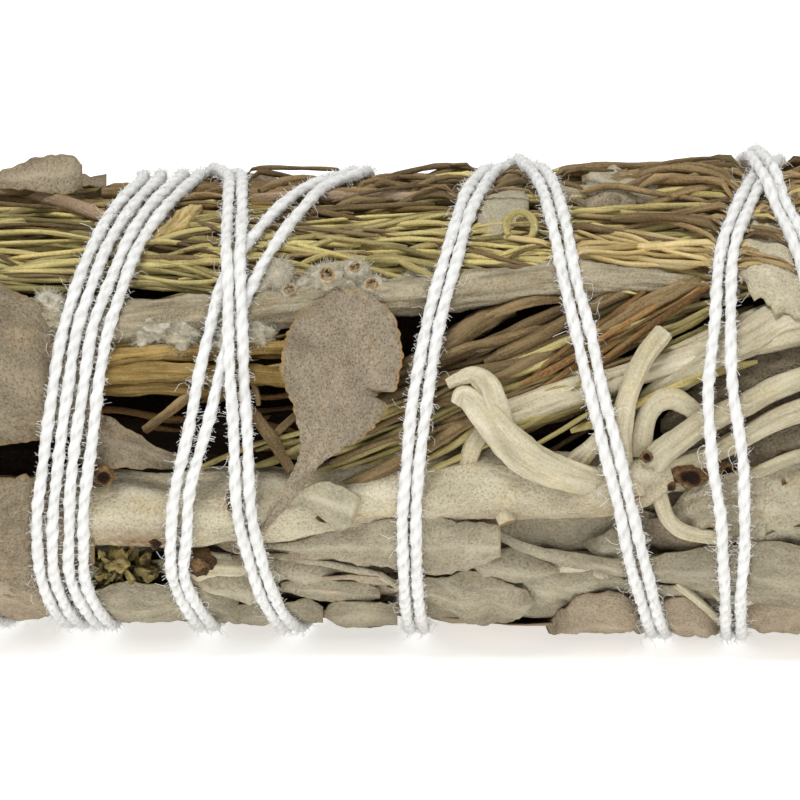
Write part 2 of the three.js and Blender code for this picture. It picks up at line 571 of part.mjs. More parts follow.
// Fine green stems growing from a woody twig that lies under them
function greenSpray({ seed, from, to, degrees, fan, stems, depth }, grow) {
  drawState = seed;
  const axis = placedRod(
    [
      [from, degrees, depth + 1.3, 0.8], [(from * 2 + to) / 3, degrees + 3, depth + 1.1, 0.9],
      [(from + to * 2) / 3, degrees - 3, depth + 1.1, 0.8], [to, degrees, depth + 1.3, 0.5],
    ],
    { sides: 5, steps: 2, grow },
  );
  const parts = [axis];
  for (let i = 0; i < stems; i++) {
    const root = from + 2 + ((to - from - 30) * i) / (stems - 1);
    const side = (i % 2 ? 1 : -1) * fan * draw(0.25, 1);
    const reach = draw(30, 40);
    const high = depth - draw(0.0, 0.5);
    const sway = draw(-2.5, 2.5);
    parts.push(
      placedRod(
        [
          [root, degrees, depth + 1.1, 0.36], [root + reach * 0.22, degrees + side * 0.55, high, 0.36],
          [root + reach * 0.6, degrees + side + sway, high, 0.34],
          [root + reach, degrees + side * 0.9 - sway, high + 0.3, 0.3],
        ],
        { sides: 3, steps: 1, grow },
      ),
    );
  }
  return fuse(parts);
}
const SPRAYS = {
  green_spray_front: { seed: 11, from: -66, to: 60, degrees: 57, fan: 11, stems: 11, depth: 1.8 },
  green_spray_top: { seed: 23, from: -60, to: 66, degrees: 92, fan: 12, stems: 9, depth: 1.8 },
  green_spray_back: { seed: 37, from: -64, to: 62, degrees: 128, fan: 12, stems: 9, depth: 1.8 },
};
// Brown wiry stems in the hollow over the thick stem
const WIRY_STEMS = [
  [
    [-30.0, -2.6, 2.9, 0.5], [-12.0, -1.6, 2.6, 0.45], [4.0, -2.6, 2.3, 0.45], [12.0, 1.4, 2.4, 0.45],
    [19.0, 5.0, 2.9, 0.4],
  ],
  [[-14.0, -0.6, 3.4, 0.45], [-8.0, -4.0, 2.3, 0.4], [-3.4, -6.2, 1.9, 0.35]],
  [[0.6, -3.4, 2.6, 0.4], [7.0, 1.0, 1.8, 0.4], [13.0, 3.6, 1.8, 0.35]],
  [[-1.0, -2.8, 2.6, 0.4], [-1.4, -5.4, 1.7, 0.38], [-2.2, -8.4, 0.0, 0.3]],
  [[2.0, -2.6, 2.6, 0.4], [6.0, 3.4, 2.0, 0.45], [13.0, 6.6, 1.8, 0.4]],
  [[-24.0, -2.4, 2.9, 0.45], [-18.0, -3.2, 2.3, 0.4], [-14.5, -0.8, 2.0, 0.35]],
];
const wiryStems = (grow) =>
  fuse(WIRY_STEMS.map((stations) => seenRod(stations, { sides: 4, steps: 2, grow })));

// Stems at the back, below and in the middle, cut off at the butt
const HIDDEN_STEMS = {
  sage_stem_back: [[-72, 176, 3.6, 2.2], [-40, 172, 3.6, 2.4], [0, 178, 3.6, 2.3], [40, 184, 3.6, 1.5]],
  sage_stem_low: [[-74, 262, 6.6, 2.1], [-30, 258, 8.2, 2.2], [20, 262, 9.0, 1.8], [44, 266, 9.0, 1.2]],
  sage_stem_low_back: [[-72, 214, 6.0, 1.8], [-30, 218, 8.0, 1.9], [20, 214, 8.6, 1.5], [40, 212, 8.6, 1.1]],
  sage_stem_high_back: [[-74, 132, 6.4, 1.7], [-30, 136, 8.4, 1.8], [20, 130, 9.0, 1.4], [42, 128, 8.8, 1.0]],
  sage_stem_high: [[-70, 66, 6.2, 1.6], [-30, 70, 8.0, 1.7], [20, 66, 8.4, 1.4], [42, 64, 8.4, 1.0]],
  sage_stem_middle: [[-75, 20, 11.0, 2.3], [-30, 24, 13.5, 2.3], [20, 20, 14.0, 2.0], [44, 10, 13.0, 1.3]],
};

// Where the bunch's weight presses the leaves flat underneath, between the strings: from x, to x, half width
const PRESSED_SPOTS = [[-4, 9, 2.6], [21.5, 29, 2.4], [-54, -49.5, 2.0]];
// Its swelling: height, and how much longer and wider it is there
const PRESSED_SLOPE = [[0, 0, 0], [0.35, 0.4, 1.2], [1.1, 0.7, 3.2], [2.4, 0.8, 5.0], [6, 0.8, 5.0]];
const pressedSpots = () =>
  PRESSED_SPOTS.map(([from, to, half]) => {
    const rings = PRESSED_SLOPE.map(([z, longer, wider]) =>
      Array.from({ length: 8 }, (_, k) => {
        const turn = (Math.PI * (2 * k + 1)) / 8;
        const reach = (to - from) / 2 + longer;
        return new THREE.Vector3(
          (from + to) / 2 + reach * Math.cos(turn) * 1.08, (half + wider) * Math.sin(turn) * 1.08, z,
        );
      }),
    );
    return skinned(rings);
  });

// The packed leaves of the bunch: a core that the outer leaves grow out of
const CORE = { from: -69, to: 62, rings: 14, sides: 16 };
function coreSolid() {
  const rings = [];
  for (let i = 0; i < CORE.rings; i++) {
    const x = THREE.MathUtils.lerp(CORE.from, CORE.to, i / (CORE.rings - 1));
    const taper = i === 0 || i === CORE.rings - 1 ? 0.72 : 1;
    const ring = [];
    for (let k = 0; k < CORE.sides; k++) {
      const angle = (2 * Math.PI * k) / CORE.sides;
      const ripple = 0.35 * Math.sin(3 * angle + x * 0.21) + 0.3 * Math.sin(5 * angle - x * 0.13);
      const depth = CORE_DEPTH + ripple;
      ring.push(axisPoint(x, (skinRadius(x) - depth) * taper, angle));
    }
    rings.push(ring);
  }
  const made = skinned(rings);
  return made.volume() > 0 ? made : skinned(rings.map((ring) => ring.reverse()));
}
// Lance-shaped sage leaves, laid like shingles on the sides that the thick stems and sprays leave free, and
// standing out past the core at both ends.
const LEAF_OUTLINE = [0.2, 0.75, 1.0, 0.8, 0.14]; // half width from stalk to tip, as shares of the widest
const LEAF_ROWS = { seed: 7, first: -212, last: -66, rows: 6, columns: 5, from: -67, to: 42 };
const TIP_LEAVES = { seed: 71, count: 9, from: 41.4, depth: 3.2 };
const BUTT_LEAVES = [[-69, -38], [-69, -4], [-67, 26]]; // x and degrees of those left of the seen stretch
function rowLeaf(root, degrees, { length, halfWidth, lean, tilt = 0.6, depth = 2.1 }) {
  const low = [];
  const high = [];
  LEAF_OUTLINE.forEach((share, i) => {
    const t = i / (LEAF_OUTLINE.length - 1);
    const x = root + length * t;
    const sunk = 4.4 * Math.pow(1 - Math.min(t / 0.34, 1), 1.4);
    const middle = degrees + lean * t;
    const wave = 0.22 * Math.sin(5.2 * t + degrees) * (i % 2 ? 1 : -1);
    const perDegree = (skinRadius(Math.min(x, 62)) * Math.PI) / 180;
    const spread = (share * halfWidth) / perDegree;
    const edge = (side) =>
      placed(x, middle + side * spread, depth + sunk + side * tilt * share + side * wave);
    low.push(edge(-1));
    high.push(edge(1));
  });
  return blade(low, high, { arch: 0 });
}
function rowLeaves() {
  drawState = LEAF_ROWS.seed;
  const leaves = [];
  const { first, last, rows, columns, from, to } = LEAF_ROWS;
  for (let row = 0; row < rows; row++) {
    const degrees = THREE.MathUtils.lerp(first, last, row / (rows - 1));
    for (let column = 0; column < columns; column++) {
      const shift = row % 2 ? 0.5 : 0;
      const root = THREE.MathUtils.lerp(from, to, (column + shift) / columns) + draw(-1.5, 1.5);
      const size = { length: draw(25, 29), halfWidth: draw(4.0, 4.8), lean: draw(-5, 5) };
      leaves.push(rowLeaf(root, degrees + draw(-3, 3), size));
    }
  }
  return leaves;
}
function endLeaves() {
  drawState = TIP_LEAVES.seed;
  const leaves = [];
  const { count, from, depth } = TIP_LEAVES;
  for (let i = 0; i < count; i++) {
    const degrees = (360 * i) / count + draw(-8, 8);
    const size = { length: draw(26, 36), halfWidth: draw(3.2, 4.4), lean: draw(-14, 14), tilt: 0.4 };
    leaves.push(rowLeaf(from + draw(-2, 2), degrees, { ...size, depth: depth + draw(-0.6, 0.9) }));
  }
  for (const [x, degrees] of BUTT_LEAVES) {
    leaves.push(rowLeaf(x, degrees, { length: 25, halfWidth: 4.6, lean: draw(-8, 8), depth: 2.2 }));
  }
  return leaves;
}
const sageLeaves = () => fuse([coreSolid(), ...pressedSpots(), ...rowLeaves(), ...endLeaves()]);

// Colours
const COLOURS = {
  cotton: [0xf3f1e8, 0.9],
  sageStem: [0xb9ad8c, 0.85],
  sageLeaf: [0xa9a28a, 0.9],
  brownLeaf: [0x94866c, 0.9],
  twigGrey: [0xa09581, 0.85],
  straw: [0xb39a5c, 0.7],
  rust: [0x9a6a38, 0.75],
  green: [0x85804a, 0.7],
};
const material = ([color, roughness]) => new THREE.MeshStandardMaterial({ color, roughness, metalness: 0 });

// Assembly. Each piece is cut clear of the ones before it: the string comes first and the packed leaves last.
const LEAF_COLOURS = {
  leaf_broad_left: "brownLeaf", leaf_tucked: "brownLeaf", leaf_grey_left: "sageLeaf",
};
const order = [
  ["cotton_string", cottonString, "cotton"],
  ["leaf_fan", fanLeaf, "brownLeaf"],
  ["leaf_shred", (grow) => seenBlade(SHOW_LEAVES.leaf_shred, 0, { grow }), "sageLeaf"],
  ["sage_stem_main", mainStem, "sageStem"],
  ["gall_twig", gallTwig, "twigGrey"],
  ...Object.entries(SHOW_LEAVES)
    .filter(([name]) => name !== "leaf_shred")
    .map(([name, stations]) => [
      name, (grow) => seenBlade(stations, HELD_DOWN, { grow, arch: 0.3 }), LEAF_COLOURS[name] ?? "sageLeaf",
    ]),
  ...Object.entries(TWIGS).map(([name, stations]) => [
    name, (grow) => seenRod(stations, { sides: 6, steps: 1, grow }),
    name.startsWith("straw") ? "straw" : "rust",
  ]),
  ...Object.entries(SPRAYS).map(([name, spray]) => [name, (grow) => greenSpray(spray, grow), "green"]),
  ["wiry_stems", wiryStems, "rust"],
  ...Object.entries(HIDDEN_STEMS).map(([name, stations]) => [
    name, (grow) => placedRod(stations, { sides: 7, steps: 1, grow }), "sageStem",
  ]),
  ["sage_leaves", sageLeaves, "sageLeaf"],
];

const floorUp = fromGeometry(new THREE.BoxGeometry(400, 200, 200).translate(0, 0, 100));
const bunch = new THREE.Group();
let taken = null;
for (const [name, make, colour] of order) {
  const whole = make(0);
  const cut = taken ? whole.subtract(taken) : whole;
  const kept = tidied(cut.intersect(floorUp));
  if (name !== "sage_leaves") taken = taken ? fuse([taken, make(FIT_GAP)]) : make(FIT_GAP);
  const mesh = new THREE.Mesh(geometryOf(kept), material(COLOURS[colour]));
  mesh.name = name;
  bunch.add(mesh);
}

export default bunch;
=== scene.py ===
"""The looks of a dried sage bunch, wound with doubled cotton string and lying on a white table.

The layout is that of the part itself, in millimetres: +X along the bunch, -Y the show side, +Z up.
A place on the bunch is (x, degrees round the axis, depth under the skin) or, on the show side,
(along, across, depth) in a plane through the axis as the camera sees it.
Every piece is made from such stations and grown into a fine mesh.
"""

from __future__ import annotations

import logging
import math
from dataclasses import dataclass, field, replace
from enum import Enum
from typing import Callable, Iterable, Sequence

import bpy
import numpy as np
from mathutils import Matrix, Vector

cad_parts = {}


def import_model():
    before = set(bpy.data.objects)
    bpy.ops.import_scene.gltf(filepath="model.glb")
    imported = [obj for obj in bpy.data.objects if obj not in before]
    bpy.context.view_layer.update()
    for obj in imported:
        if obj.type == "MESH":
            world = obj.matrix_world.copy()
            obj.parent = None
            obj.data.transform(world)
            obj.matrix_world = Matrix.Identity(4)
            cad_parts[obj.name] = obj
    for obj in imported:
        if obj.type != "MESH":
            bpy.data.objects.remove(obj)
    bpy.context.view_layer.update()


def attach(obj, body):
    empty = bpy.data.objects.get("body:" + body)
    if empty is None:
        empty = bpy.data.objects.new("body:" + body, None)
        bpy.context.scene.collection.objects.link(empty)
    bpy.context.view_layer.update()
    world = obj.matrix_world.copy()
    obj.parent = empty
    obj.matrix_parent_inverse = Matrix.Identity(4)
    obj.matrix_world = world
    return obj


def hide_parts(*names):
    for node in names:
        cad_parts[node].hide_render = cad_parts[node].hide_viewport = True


LOG = logging.getLogger("sage_bunch")

# The random numbers: how seeds are spread, and the factor, step and range of the row of numbers.
SEED_SPREAD = 2654435761
DRAW_FACTOR = 1664525
DRAW_STEP = 1013904223
DRAW_RANGE = 2**32
MM = 0.001
AXIS_Z = 18.6
EYE_DISTANCE = 420.0
EYE_ELEVATION = math.radians(12.0)
SEEN_MIDDLE_X = -8.5
SEEN_WIDTH = 64.5
SENSOR = 36.0
# The form of the tied bunch: x, and the radius that its leaves reach there.
SKIN = np.array([
    (-75, 11.5), (-66, 14.6), (-56, 16.4), (-44, 17.3), (-32, 17.7), (-8, 18.1), (12, 18.6), (27, 19.0),
    (42, 18.4), (54, 16.0), (64, 12.6), (75, 8.0),
])
STRING_RADIUS = 0.45
STRING_STANDOFF = 0.34
TIED_LIMIT = -0.14
TIED_REACH = 1.1
TIED_SOFTNESS = 0.12
STRING_PAIR_GAP = 1.02
STRING_PITCH = 2.7
STRING_SIDES = 12
STRING_WANDER = 0.07
CROSSING_LIFT = 0.9
CROSSING_NEAR = 0.7
CROSSING_REACH = 1.6
KNOT_ANGLE = 150.0
KNOT_X = -57.5
TURN_SAMPLES = 230
PRESS_HEIGHT = 0.8
FIBRE_FLOOR = 0.03
BOSS_SIDES = 28
TABLE_REACH = 3.0
TABLE_WHITE = 0.9
TABLE_GLOW = 0.55
ROOM_LIGHT = 0.52
# Each light: its name, its place and size in metres, and its power in watts.
LIGHTS = (("key", (-0.6, -1.05, 2.25), 0.75, 38.0), ("fill", (0.5, -0.7, 0.35), 0.6, 0.6))
LIGHTS_AIM = (0, 0, 0.02)


class Slot(Enum):
    """The material slots."""

    COTTON = "cotton"
    LEAF = "sage_leaf"
    BROWN_LEAF = "brown_leaf"
    STEM = "sage_stem"
    TWIG = "dry_twig"
    GREEN = "green_stem"


@dataclass(frozen=True)
class Finish:
    """How a surface looks. Colours are sRGB hex, and sizes are how many features a millimetre holds."""

    name: str
    base: str
    shade: str
    warm: str
    speck: str
    # The rim colour marks edges, cut ends and stains; on the cotton it is painted shade between the plies,
    # and on the gall rims it is painted shade inside the holes.
    rim: str
    # The rib colour lightens veins and streaks; on the cotton it is a painted highlight on the plies' crests.
    rib: str
    roughness: float = 0.85
    fibre: float = 0.35
    fibre_size: float = 3.0
    stretch: float = 0.1
    speck_share: float = 0.35
    speck_size: float = 4.0
    bump: float = 0.06
    sheen: float = 0.0


# Bleached cotton twine: matt and white, with a light edge from the loose fibres. Its rim colour is
# painted shade, the soft grey between the plies, and its rib colour a painted highlight on their crests.
COTTON = Finish("cotton", "F8F8F6", "E2E1DC", "F6F4EE", "FAFAF8", "CBC8BF", "FBFBF9", 0.95, 0.6, 8.0, 0.15,
                0.15, 4.0, 0.12, 0.3)
# Sage bark under short white felt: cream, nearly without shine, mottled where the tan bark shows through
# the felt.
FELT_STEM = Finish("felt_stem", "C6BDA3", "9F947A", "CBB681", "8E8061", "7A5A36", "E2DAC4", 0.93, 0.35, 2.2,
                   0.3, 0.6, 3.8, 0.14)
# Dried leaf stalks: woody strands under thin felt, so they are streaked lengthwise and a little paler on
# the ridges.
STALK = Finish("stalk", "C8BEA1", "9A8E72", "D0BF8C", "9A8D6C", "8A5F3A", "E8E0CA", 0.9, 0.6, 3.4, 0.07,
               0.35, 3.6, 0.12)
# Felted sage leaves: dense short hairs on a brown-green blade make a pale grey-beige, speckled where hairs
# are worn.
FELT_LEAF = Finish("felt_leaf", "ABA28B", "857C66", "AB9873", "746A52", "9C8F70", "C9C0AA", 0.95, 0.45, 1.6,
                   0.35, 0.55, 3.6, 0.2)
# The underside of sage leaves: the thickest felt, so the palest and greyest, with soft veins.
PALE_LEAF = Finish("pale_leaf", "B8AF97", "938B74", "B6A67F", "80775E", "9A8E6E", "D3CCB6", 0.95, 0.45, 1.8,
                   0.35, 0.5, 3.6, 0.2)
# Leaves that browned before drying: the same felt over a reddish brown blade.
PINK_LEAF = Finish("pink_leaf", "B0A18A", "8A7A65", "B39774", "76664F", "957D60", "C9BBA4", 0.95, 0.45, 1.6,
                   0.35, 0.55, 3.6, 0.2)
# Old brown leaves: worn felt over dark brown, with tiny brown dots.
BROWN_LEAF = Finish("brown_leaf", "978A73", "6F624C", "9C815E", "574932", "8D7752", "B6AA93", 0.95, 0.45,
                    1.6, 0.35, 0.6, 3.8, 0.18)
# The fan leaf: pale hairs in tufts, with the brown blade as dots between them and an ochre, thickened edge.
FAN_LEAF = Finish("fan_leaf", "9D907A", "7C6F5C", "A08A68", "5F4E3A", "AB854D", "BFB4A0", 0.95, 0.3, 2.4,
                  0.5, 0.7, 4.6, 0.14)
# Weathered bark: grey and ridged, darker and browner in the furrows.
GREY_TWIG = Finish("grey_twig", "AEA389", "6E6249", "AB9268", "5E523C", "5B3F24", "CCC2A8", 0.93, 0.85, 2.4,
                   0.08, 0.4, 4.0, 0.16)
# Thin smooth bark of young twigs: rosy brown with a dull sheen and fine lengthwise lines.
ROSY_TWIG = Finish("rosy_twig", "A89277", "6E5841", "AC8964", "5E4A36", "5B3A20", "C0AA90", 0.88, 0.7, 3.0,
                   0.07, 0.35, 4.0, 0.13)
# Peeled dry wood: yellow, smooth enough to catch a soft highlight, and split along its grain.
STRAW = Finish("straw", "9C8148", "5C441F", "AC8A48", "50391A", "5F4420", "CDB478", 0.68, 1.0, 3.0, 0.05,
               0.25, 4.0, 0.13)
PALE_STRAW = Finish("pale_straw", "CDB57C", "8E7340", "D6B868", "765A2E", "5F4420", "E6D6A6", 0.7, 0.9, 3.0,
                    0.05, 0.25, 4.0, 0.12)
# Thin green stems dried to olive: a waxy skin with soft highlights, yellower on the ridges.
OLIVE = Finish("olive", "C4B477", "6E6136", "C9AC64", "554B28", "4A3418", "DCD195", 0.7, 0.7, 3.6, 0.07,
               0.3, 4.0, 0.1)
MOSS = Finish("moss", "9C8C59", "4F4424", "98803F", "413819", "4A3418", "B0A56C", 0.75, 0.7, 3.6, 0.07, 0.3,
              4.0, 0.1)
# Fibrous red-brown bark of thin dry twigs: torn along the grain, dark in the tears.
RUST = Finish("rust", "8E6C43", "45301A", "9F7140", "382510", "4A2A10", "BF9A62", 0.8, 0.9, 3.2, 0.05, 0.35,
              4.0, 0.13)
DRY_BROWN = Finish("dry_brown", "8D7753", "4F3D27", "93703F", "3C2D1E", "3B2915", "B29C74", 0.82, 0.8, 3.2,
                   0.06, 0.35, 4.0, 0.12)
# Plant wool round insect galls: loose off-white hairs that scatter the light, so it has no shine at all.
WOOL = Finish("wool", "D6D0BC", "B0A78F", "CDB483", "9A8F74", "A8763A", "E4DECF", 1.0, 0.2, 5.0, 0.6, 0.4,
              4.0, 0.2, 0.3)
# The torn rim of a gall's hole: bare tan tissue. Its near-black rim colour is painted shade inside the hole.
GALL_RIM = Finish("gall_rim", "BE975C", "8E6636", "CC9E5C", "6B4A28", "22170C", "D8B880", 0.9, 0.4, 4.0,
                  0.6, 0.5, 4.0, 0.12)
# Scars where branches broke off: ragged brown bark, darkest in their sunken middles.
SCAR = Finish("scar", "836544", "4B3420", "9C7244", "33210F", "281A0E", "AE9364", 0.88, 0.6, 4.0, 0.4, 0.5,
              4.0, 0.2)
# What lies deep between the stems: crumbled leaf, with its shadow painted in as near-black colour.
PAINTED_SHADE = Finish("painted_shade_middle", "2C2217", "171009", "382818", "100A06", "2A1D10", "40301F", 1.0, 0.5, 1.2, 0.3,
              0.5, 2.0, 0.3)


class Draw:
    """Repeatable random numbers."""

    def __init__(self, seed: int) -> None:
        """Starts the row of numbers that belongs to a seed.

        Args:
            seed: Which row.
        """
        self.state = (seed * SEED_SPREAD) % DRAW_RANGE
        for _ in range(3):
            self.value()

    def value(self, low: float = 0.0, high: float = 1.0) -> float:
        """The next number between two limits.

        Args:
            low: The lower limit.
            high: The upper limit.

        Returns:
            The number.
        """
        self.state = (self.state * DRAW_FACTOR + DRAW_STEP) % DRAW_RANGE
        return low + (high - low) * self.state / DRAW_RANGE


def lumps(points: np.ndarray, size: float, seed: int) -> np.ndarray:
    """Smooth noise between about -1 and 1.

    Args:
        points: Places, one a row.
        size: How far apart the lumps are, in the units of the places.
        seed: The draw's seed.

    Returns:
        One number for each place.
    """
    draw = Draw(seed)
    total = np.zeros(points.shape[:-1])
    for _ in range(6):
        ways = np.array([[draw.value(-1, 1) for _ in range(points.shape[-1])] for _ in range(2)])
        ways *= 2 * math.pi / (size * np.linalg.norm(ways, axis=1, keepdims=True))
        bend = 0.9 * np.sin(points @ ways[1] * 0.6 + draw.value(0, 6.3))
        total += np.sin(points @ ways[0] * draw.value(0.6, 1.5) + bend + draw.value(0, 6.3))
    return total / 3.2


def skin_radius(x: np.ndarray) -> np.ndarray:
    """The radius that the tied leaves reach.

    Args:
        x: Places along the bunch.

    Returns:
        The radius at each place.
    """
    stations, radii = SKIN[:, 0], SKIN[:, 1]
    x = np.clip(x, stations[0], stations[-1])
    i = np.clip(np.searchsorted(stations, x, side="right") - 1, 0, len(stations) - 2)
    low, high = np.maximum(i - 1, 0), np.minimum(i + 2, len(stations) - 1)
    slope_here = (radii[i + 1] - radii[low]) / (stations[i + 1] - stations[low])
    slope_next = (radii[high] - radii[i]) / (stations[high] - stations[i])
    span = stations[i + 1] - stations[i]
    t = (x - stations[i]) / span
    ease = t * t * (3 - 2 * t)
    swing = t * (1 - t) * span
    return radii[i] + (radii[i + 1] - radii[i]) * ease + swing * ((1 - t) * slope_here - t * slope_next)


def placed(x: np.ndarray, degrees: np.ndarray, depth: np.ndarray) -> np.ndarray:
    """Places under the skin.

    Args:
        x: Along the bunch.
        degrees: Round the axis: 0 faces -Y and 90 is the top.
        depth: Under the skin.

    Returns:
        The places, one a row.
    """
    radius = skin_radius(x) - depth
    angle = np.radians(degrees)
    return np.stack([x + 0 * radius, -radius * np.cos(angle), AXIS_Z + radius * np.sin(angle)], axis=-1)


def seen_place(along: np.ndarray, across: np.ndarray, depth: np.ndarray) -> tuple[np.ndarray, np.ndarray]:
    """Where a place seen by the camera lies on the bunch.

    Args:
        along: To the right in the plane of view.
        across: Up in the plane of view.
        depth: Under the skin.

    Returns:
        x along the bunch, and degrees round it.
    """
    shrink = np.ones(np.broadcast(along, across, depth).shape)
    x, lean = shrink, shrink
    for _ in range(4):
        x = SEEN_MIDDLE_X + along * shrink
        radius = skin_radius(x) - depth
        lean = np.arcsin(np.clip(across * shrink / radius, -0.998, 0.998))
        shrink = (EYE_DISTANCE - radius * np.cos(lean)) / EYE_DISTANCE
    return x, np.degrees(lean + EYE_ELEVATION)


def seen(along: np.ndarray, across: np.ndarray, depth: np.ndarray) -> np.ndarray:
    """Places on the show side.

    Args:
        along: To the right in the plane of view.
        across: Up in the plane of view.
        depth: Under the skin.

    Returns:
        The places, one a row.
    """
    x, degrees = seen_place(along, across, depth)
    return placed(x, degrees, depth)


Place = Callable[[np.ndarray, np.ndarray, np.ndarray], np.ndarray]


def above_table(points: np.ndarray) -> np.ndarray:
    """The points, with those near the table pressed flat above it.

    Args:
        points: Places, one a row.

    Returns:
        The pressed places.
    """
    pressed = points.copy()
    low = pressed[:, 2] < PRESS_HEIGHT
    pressed[low, 2] = PRESS_HEIGHT * np.exp(pressed[low, 2] / PRESS_HEIGHT - 1)
    return pressed


def outward(points: np.ndarray) -> np.ndarray:
    """The unit direction away from the bunch's axis at each place."""
    away = points * [0, 1, 1] - [0, 0, AXIS_Z]
    return away / np.maximum(np.linalg.norm(away, axis=-1, keepdims=True), 1e-6)


def unit(vectors: np.ndarray) -> np.ndarray:
    """The vectors at length one."""
    return vectors / np.maximum(np.linalg.norm(vectors, axis=-1, keepdims=True), 1e-9)


def smooth(stations: Sequence[Sequence[float]], count: int) -> np.ndarray:
    """A smooth line through stations.

    Args:
        stations: The stations, one a row.
        count: How many samples to take.

    Returns:
        The samples, evenly spread over the stations.
    """
    rows = np.asarray(stations, dtype=float)
    ends = np.vstack([2 * rows[0] - rows[1], rows, 2 * rows[-1] - rows[-2]])
    u = np.linspace(0, len(rows) - 1, count)
    k = np.minimum(u.astype(int), len(rows) - 2)
    t = (u - k)[:, None]
    a, b, c, d = ends[k], ends[k + 1], ends[k + 2], ends[k + 3]
    return 0.5 * (2 * b + (c - a) * t + (2 * a - 5 * b + 4 * c - d) * t**2 + (3 * b - a - 3 * c + d) * t**3)


def run_length(points: np.ndarray) -> np.ndarray:
    """How far each point lies along the line through the points."""
    steps = np.linalg.norm(np.diff(points, axis=0), axis=1)
    return np.concatenate([[0.0], np.cumsum(steps)])


@dataclass
class Patch:
    """A closed skin with what its finish reads at each point."""

    vertices: np.ndarray
    faces: list[np.ndarray]
    grain: np.ndarray
    tint: np.ndarray
    rim: np.ndarray
    rib: np.ndarray


def loft(rings: np.ndarray, grain: np.ndarray, tint: float, rim: np.ndarray, rib: np.ndarray,
         cap_rim: tuple[float, float] = (0.0, 0.0)) -> Patch:
    """A closed skin over rings of points.

    Args:
        rings: Rings of points, as (ring, point, 3).
        grain: The finish's coordinates, as (ring, point, 3).
        tint: How the piece differs in colour from its finish, -1 to 1.
        rim: How much each point has the rim's colour, as (ring, point).
        rib: How much each point has the rib's colour, as (ring, point).
        cap_rim: How much the two end faces have the rim's colour.

    Returns:
        The skin.
    """
    count, sides = rings.shape[:2]
    index = np.arange(count * sides).reshape(count, sides)
    following = np.roll(index, -1, axis=1)
    quads = np.stack([index[:-1], following[:-1], following[1:], index[1:]], axis=-1).reshape(-1, 4)
    base = count * sides
    # Each end has its own ring, so that its colour stops at the edge.
    parts = [rings.reshape(-1, 3), rings[0], rings[0].mean(axis=0)[None], rings[-1],
             rings[-1].mean(axis=0)[None]]
    start = np.arange(sides) + base
    end = start + sides + 1
    low = np.stack([np.roll(start, -1), start, np.full(sides, base + sides)], axis=-1)
    high = np.stack([end, np.roll(end, -1), np.full(sides, base + 2 * sides + 1)], axis=-1)
    grains = [grain.reshape(-1, 3), grain[0], grain[0].mean(axis=0)[None], grain[-1],
              grain[-1].mean(axis=0)[None]]
    caps = np.concatenate([np.full(sides + 1, cap_rim[0]), np.full(sides + 1, cap_rim[1])])
    vertices = np.concatenate(parts)
    faces = [quads, low, high]
    a, b, c, d = (vertices[quads[:, k]] - vertices[0] for k in range(4))
    if np.sum(a * np.cross(b, c)) + np.sum(a * np.cross(c, d)) < 0:
        faces = [one[:, ::-1] for one in faces]
    return Patch(vertices, faces, np.concatenate(grains), np.full(len(vertices), tint),
                 np.concatenate([rim.reshape(-1), caps]),
                 np.concatenate([rib.reshape(-1), np.zeros(len(caps))]))


def framed(path: np.ndarray, sides: int) -> tuple[np.ndarray, np.ndarray, np.ndarray, np.ndarray]:
    """What the rings round a path are laid out by.

    Args:
        path: The path, one point a row.
        sides: How many points make a ring.

    Returns:
        How far each point lies along the path, the ways off the bunch and sideways there, and the
        angles of a ring.
    """
    forward = unit(np.gradient(path, axis=0))
    up = outward(path)
    up = unit(up - forward * np.sum(up * forward, axis=1, keepdims=True))
    turn = np.linspace(0, 2 * math.pi, sides, endpoint=False)[None, :]
    return run_length(path), up, np.cross(forward, up), turn


@dataclass(frozen=True)
class Section:
    """The cross-section of a stalk or twig, as shares of its radius."""

    flat: float = 1.0
    groove: float = 0.0
    ridges: int = 0
    ridge: float = 0.0
    lump: float = 0.06
    lump_size: float = 2.5
    knots: float = 0.0
    cut: tuple[float, float] = (0.0, 0.0)


ROUND = Section()
GROOVED = Section(flat=0.82, groove=0.34, ridges=9, ridge=0.07, lump=0.07)
BARK = Section(ridges=11, ridge=0.07, lump=0.11, lump_size=3.0, cut=(1, 1))
FINE = Section(ridges=5, ridge=0.1, lump=0.14, lump_size=1.8, cut=(0.6, 0.6))
FIBROUS = Section(ridges=7, ridge=0.2, lump=0.18, lump_size=2.2, cut=(0.5, 0.5))


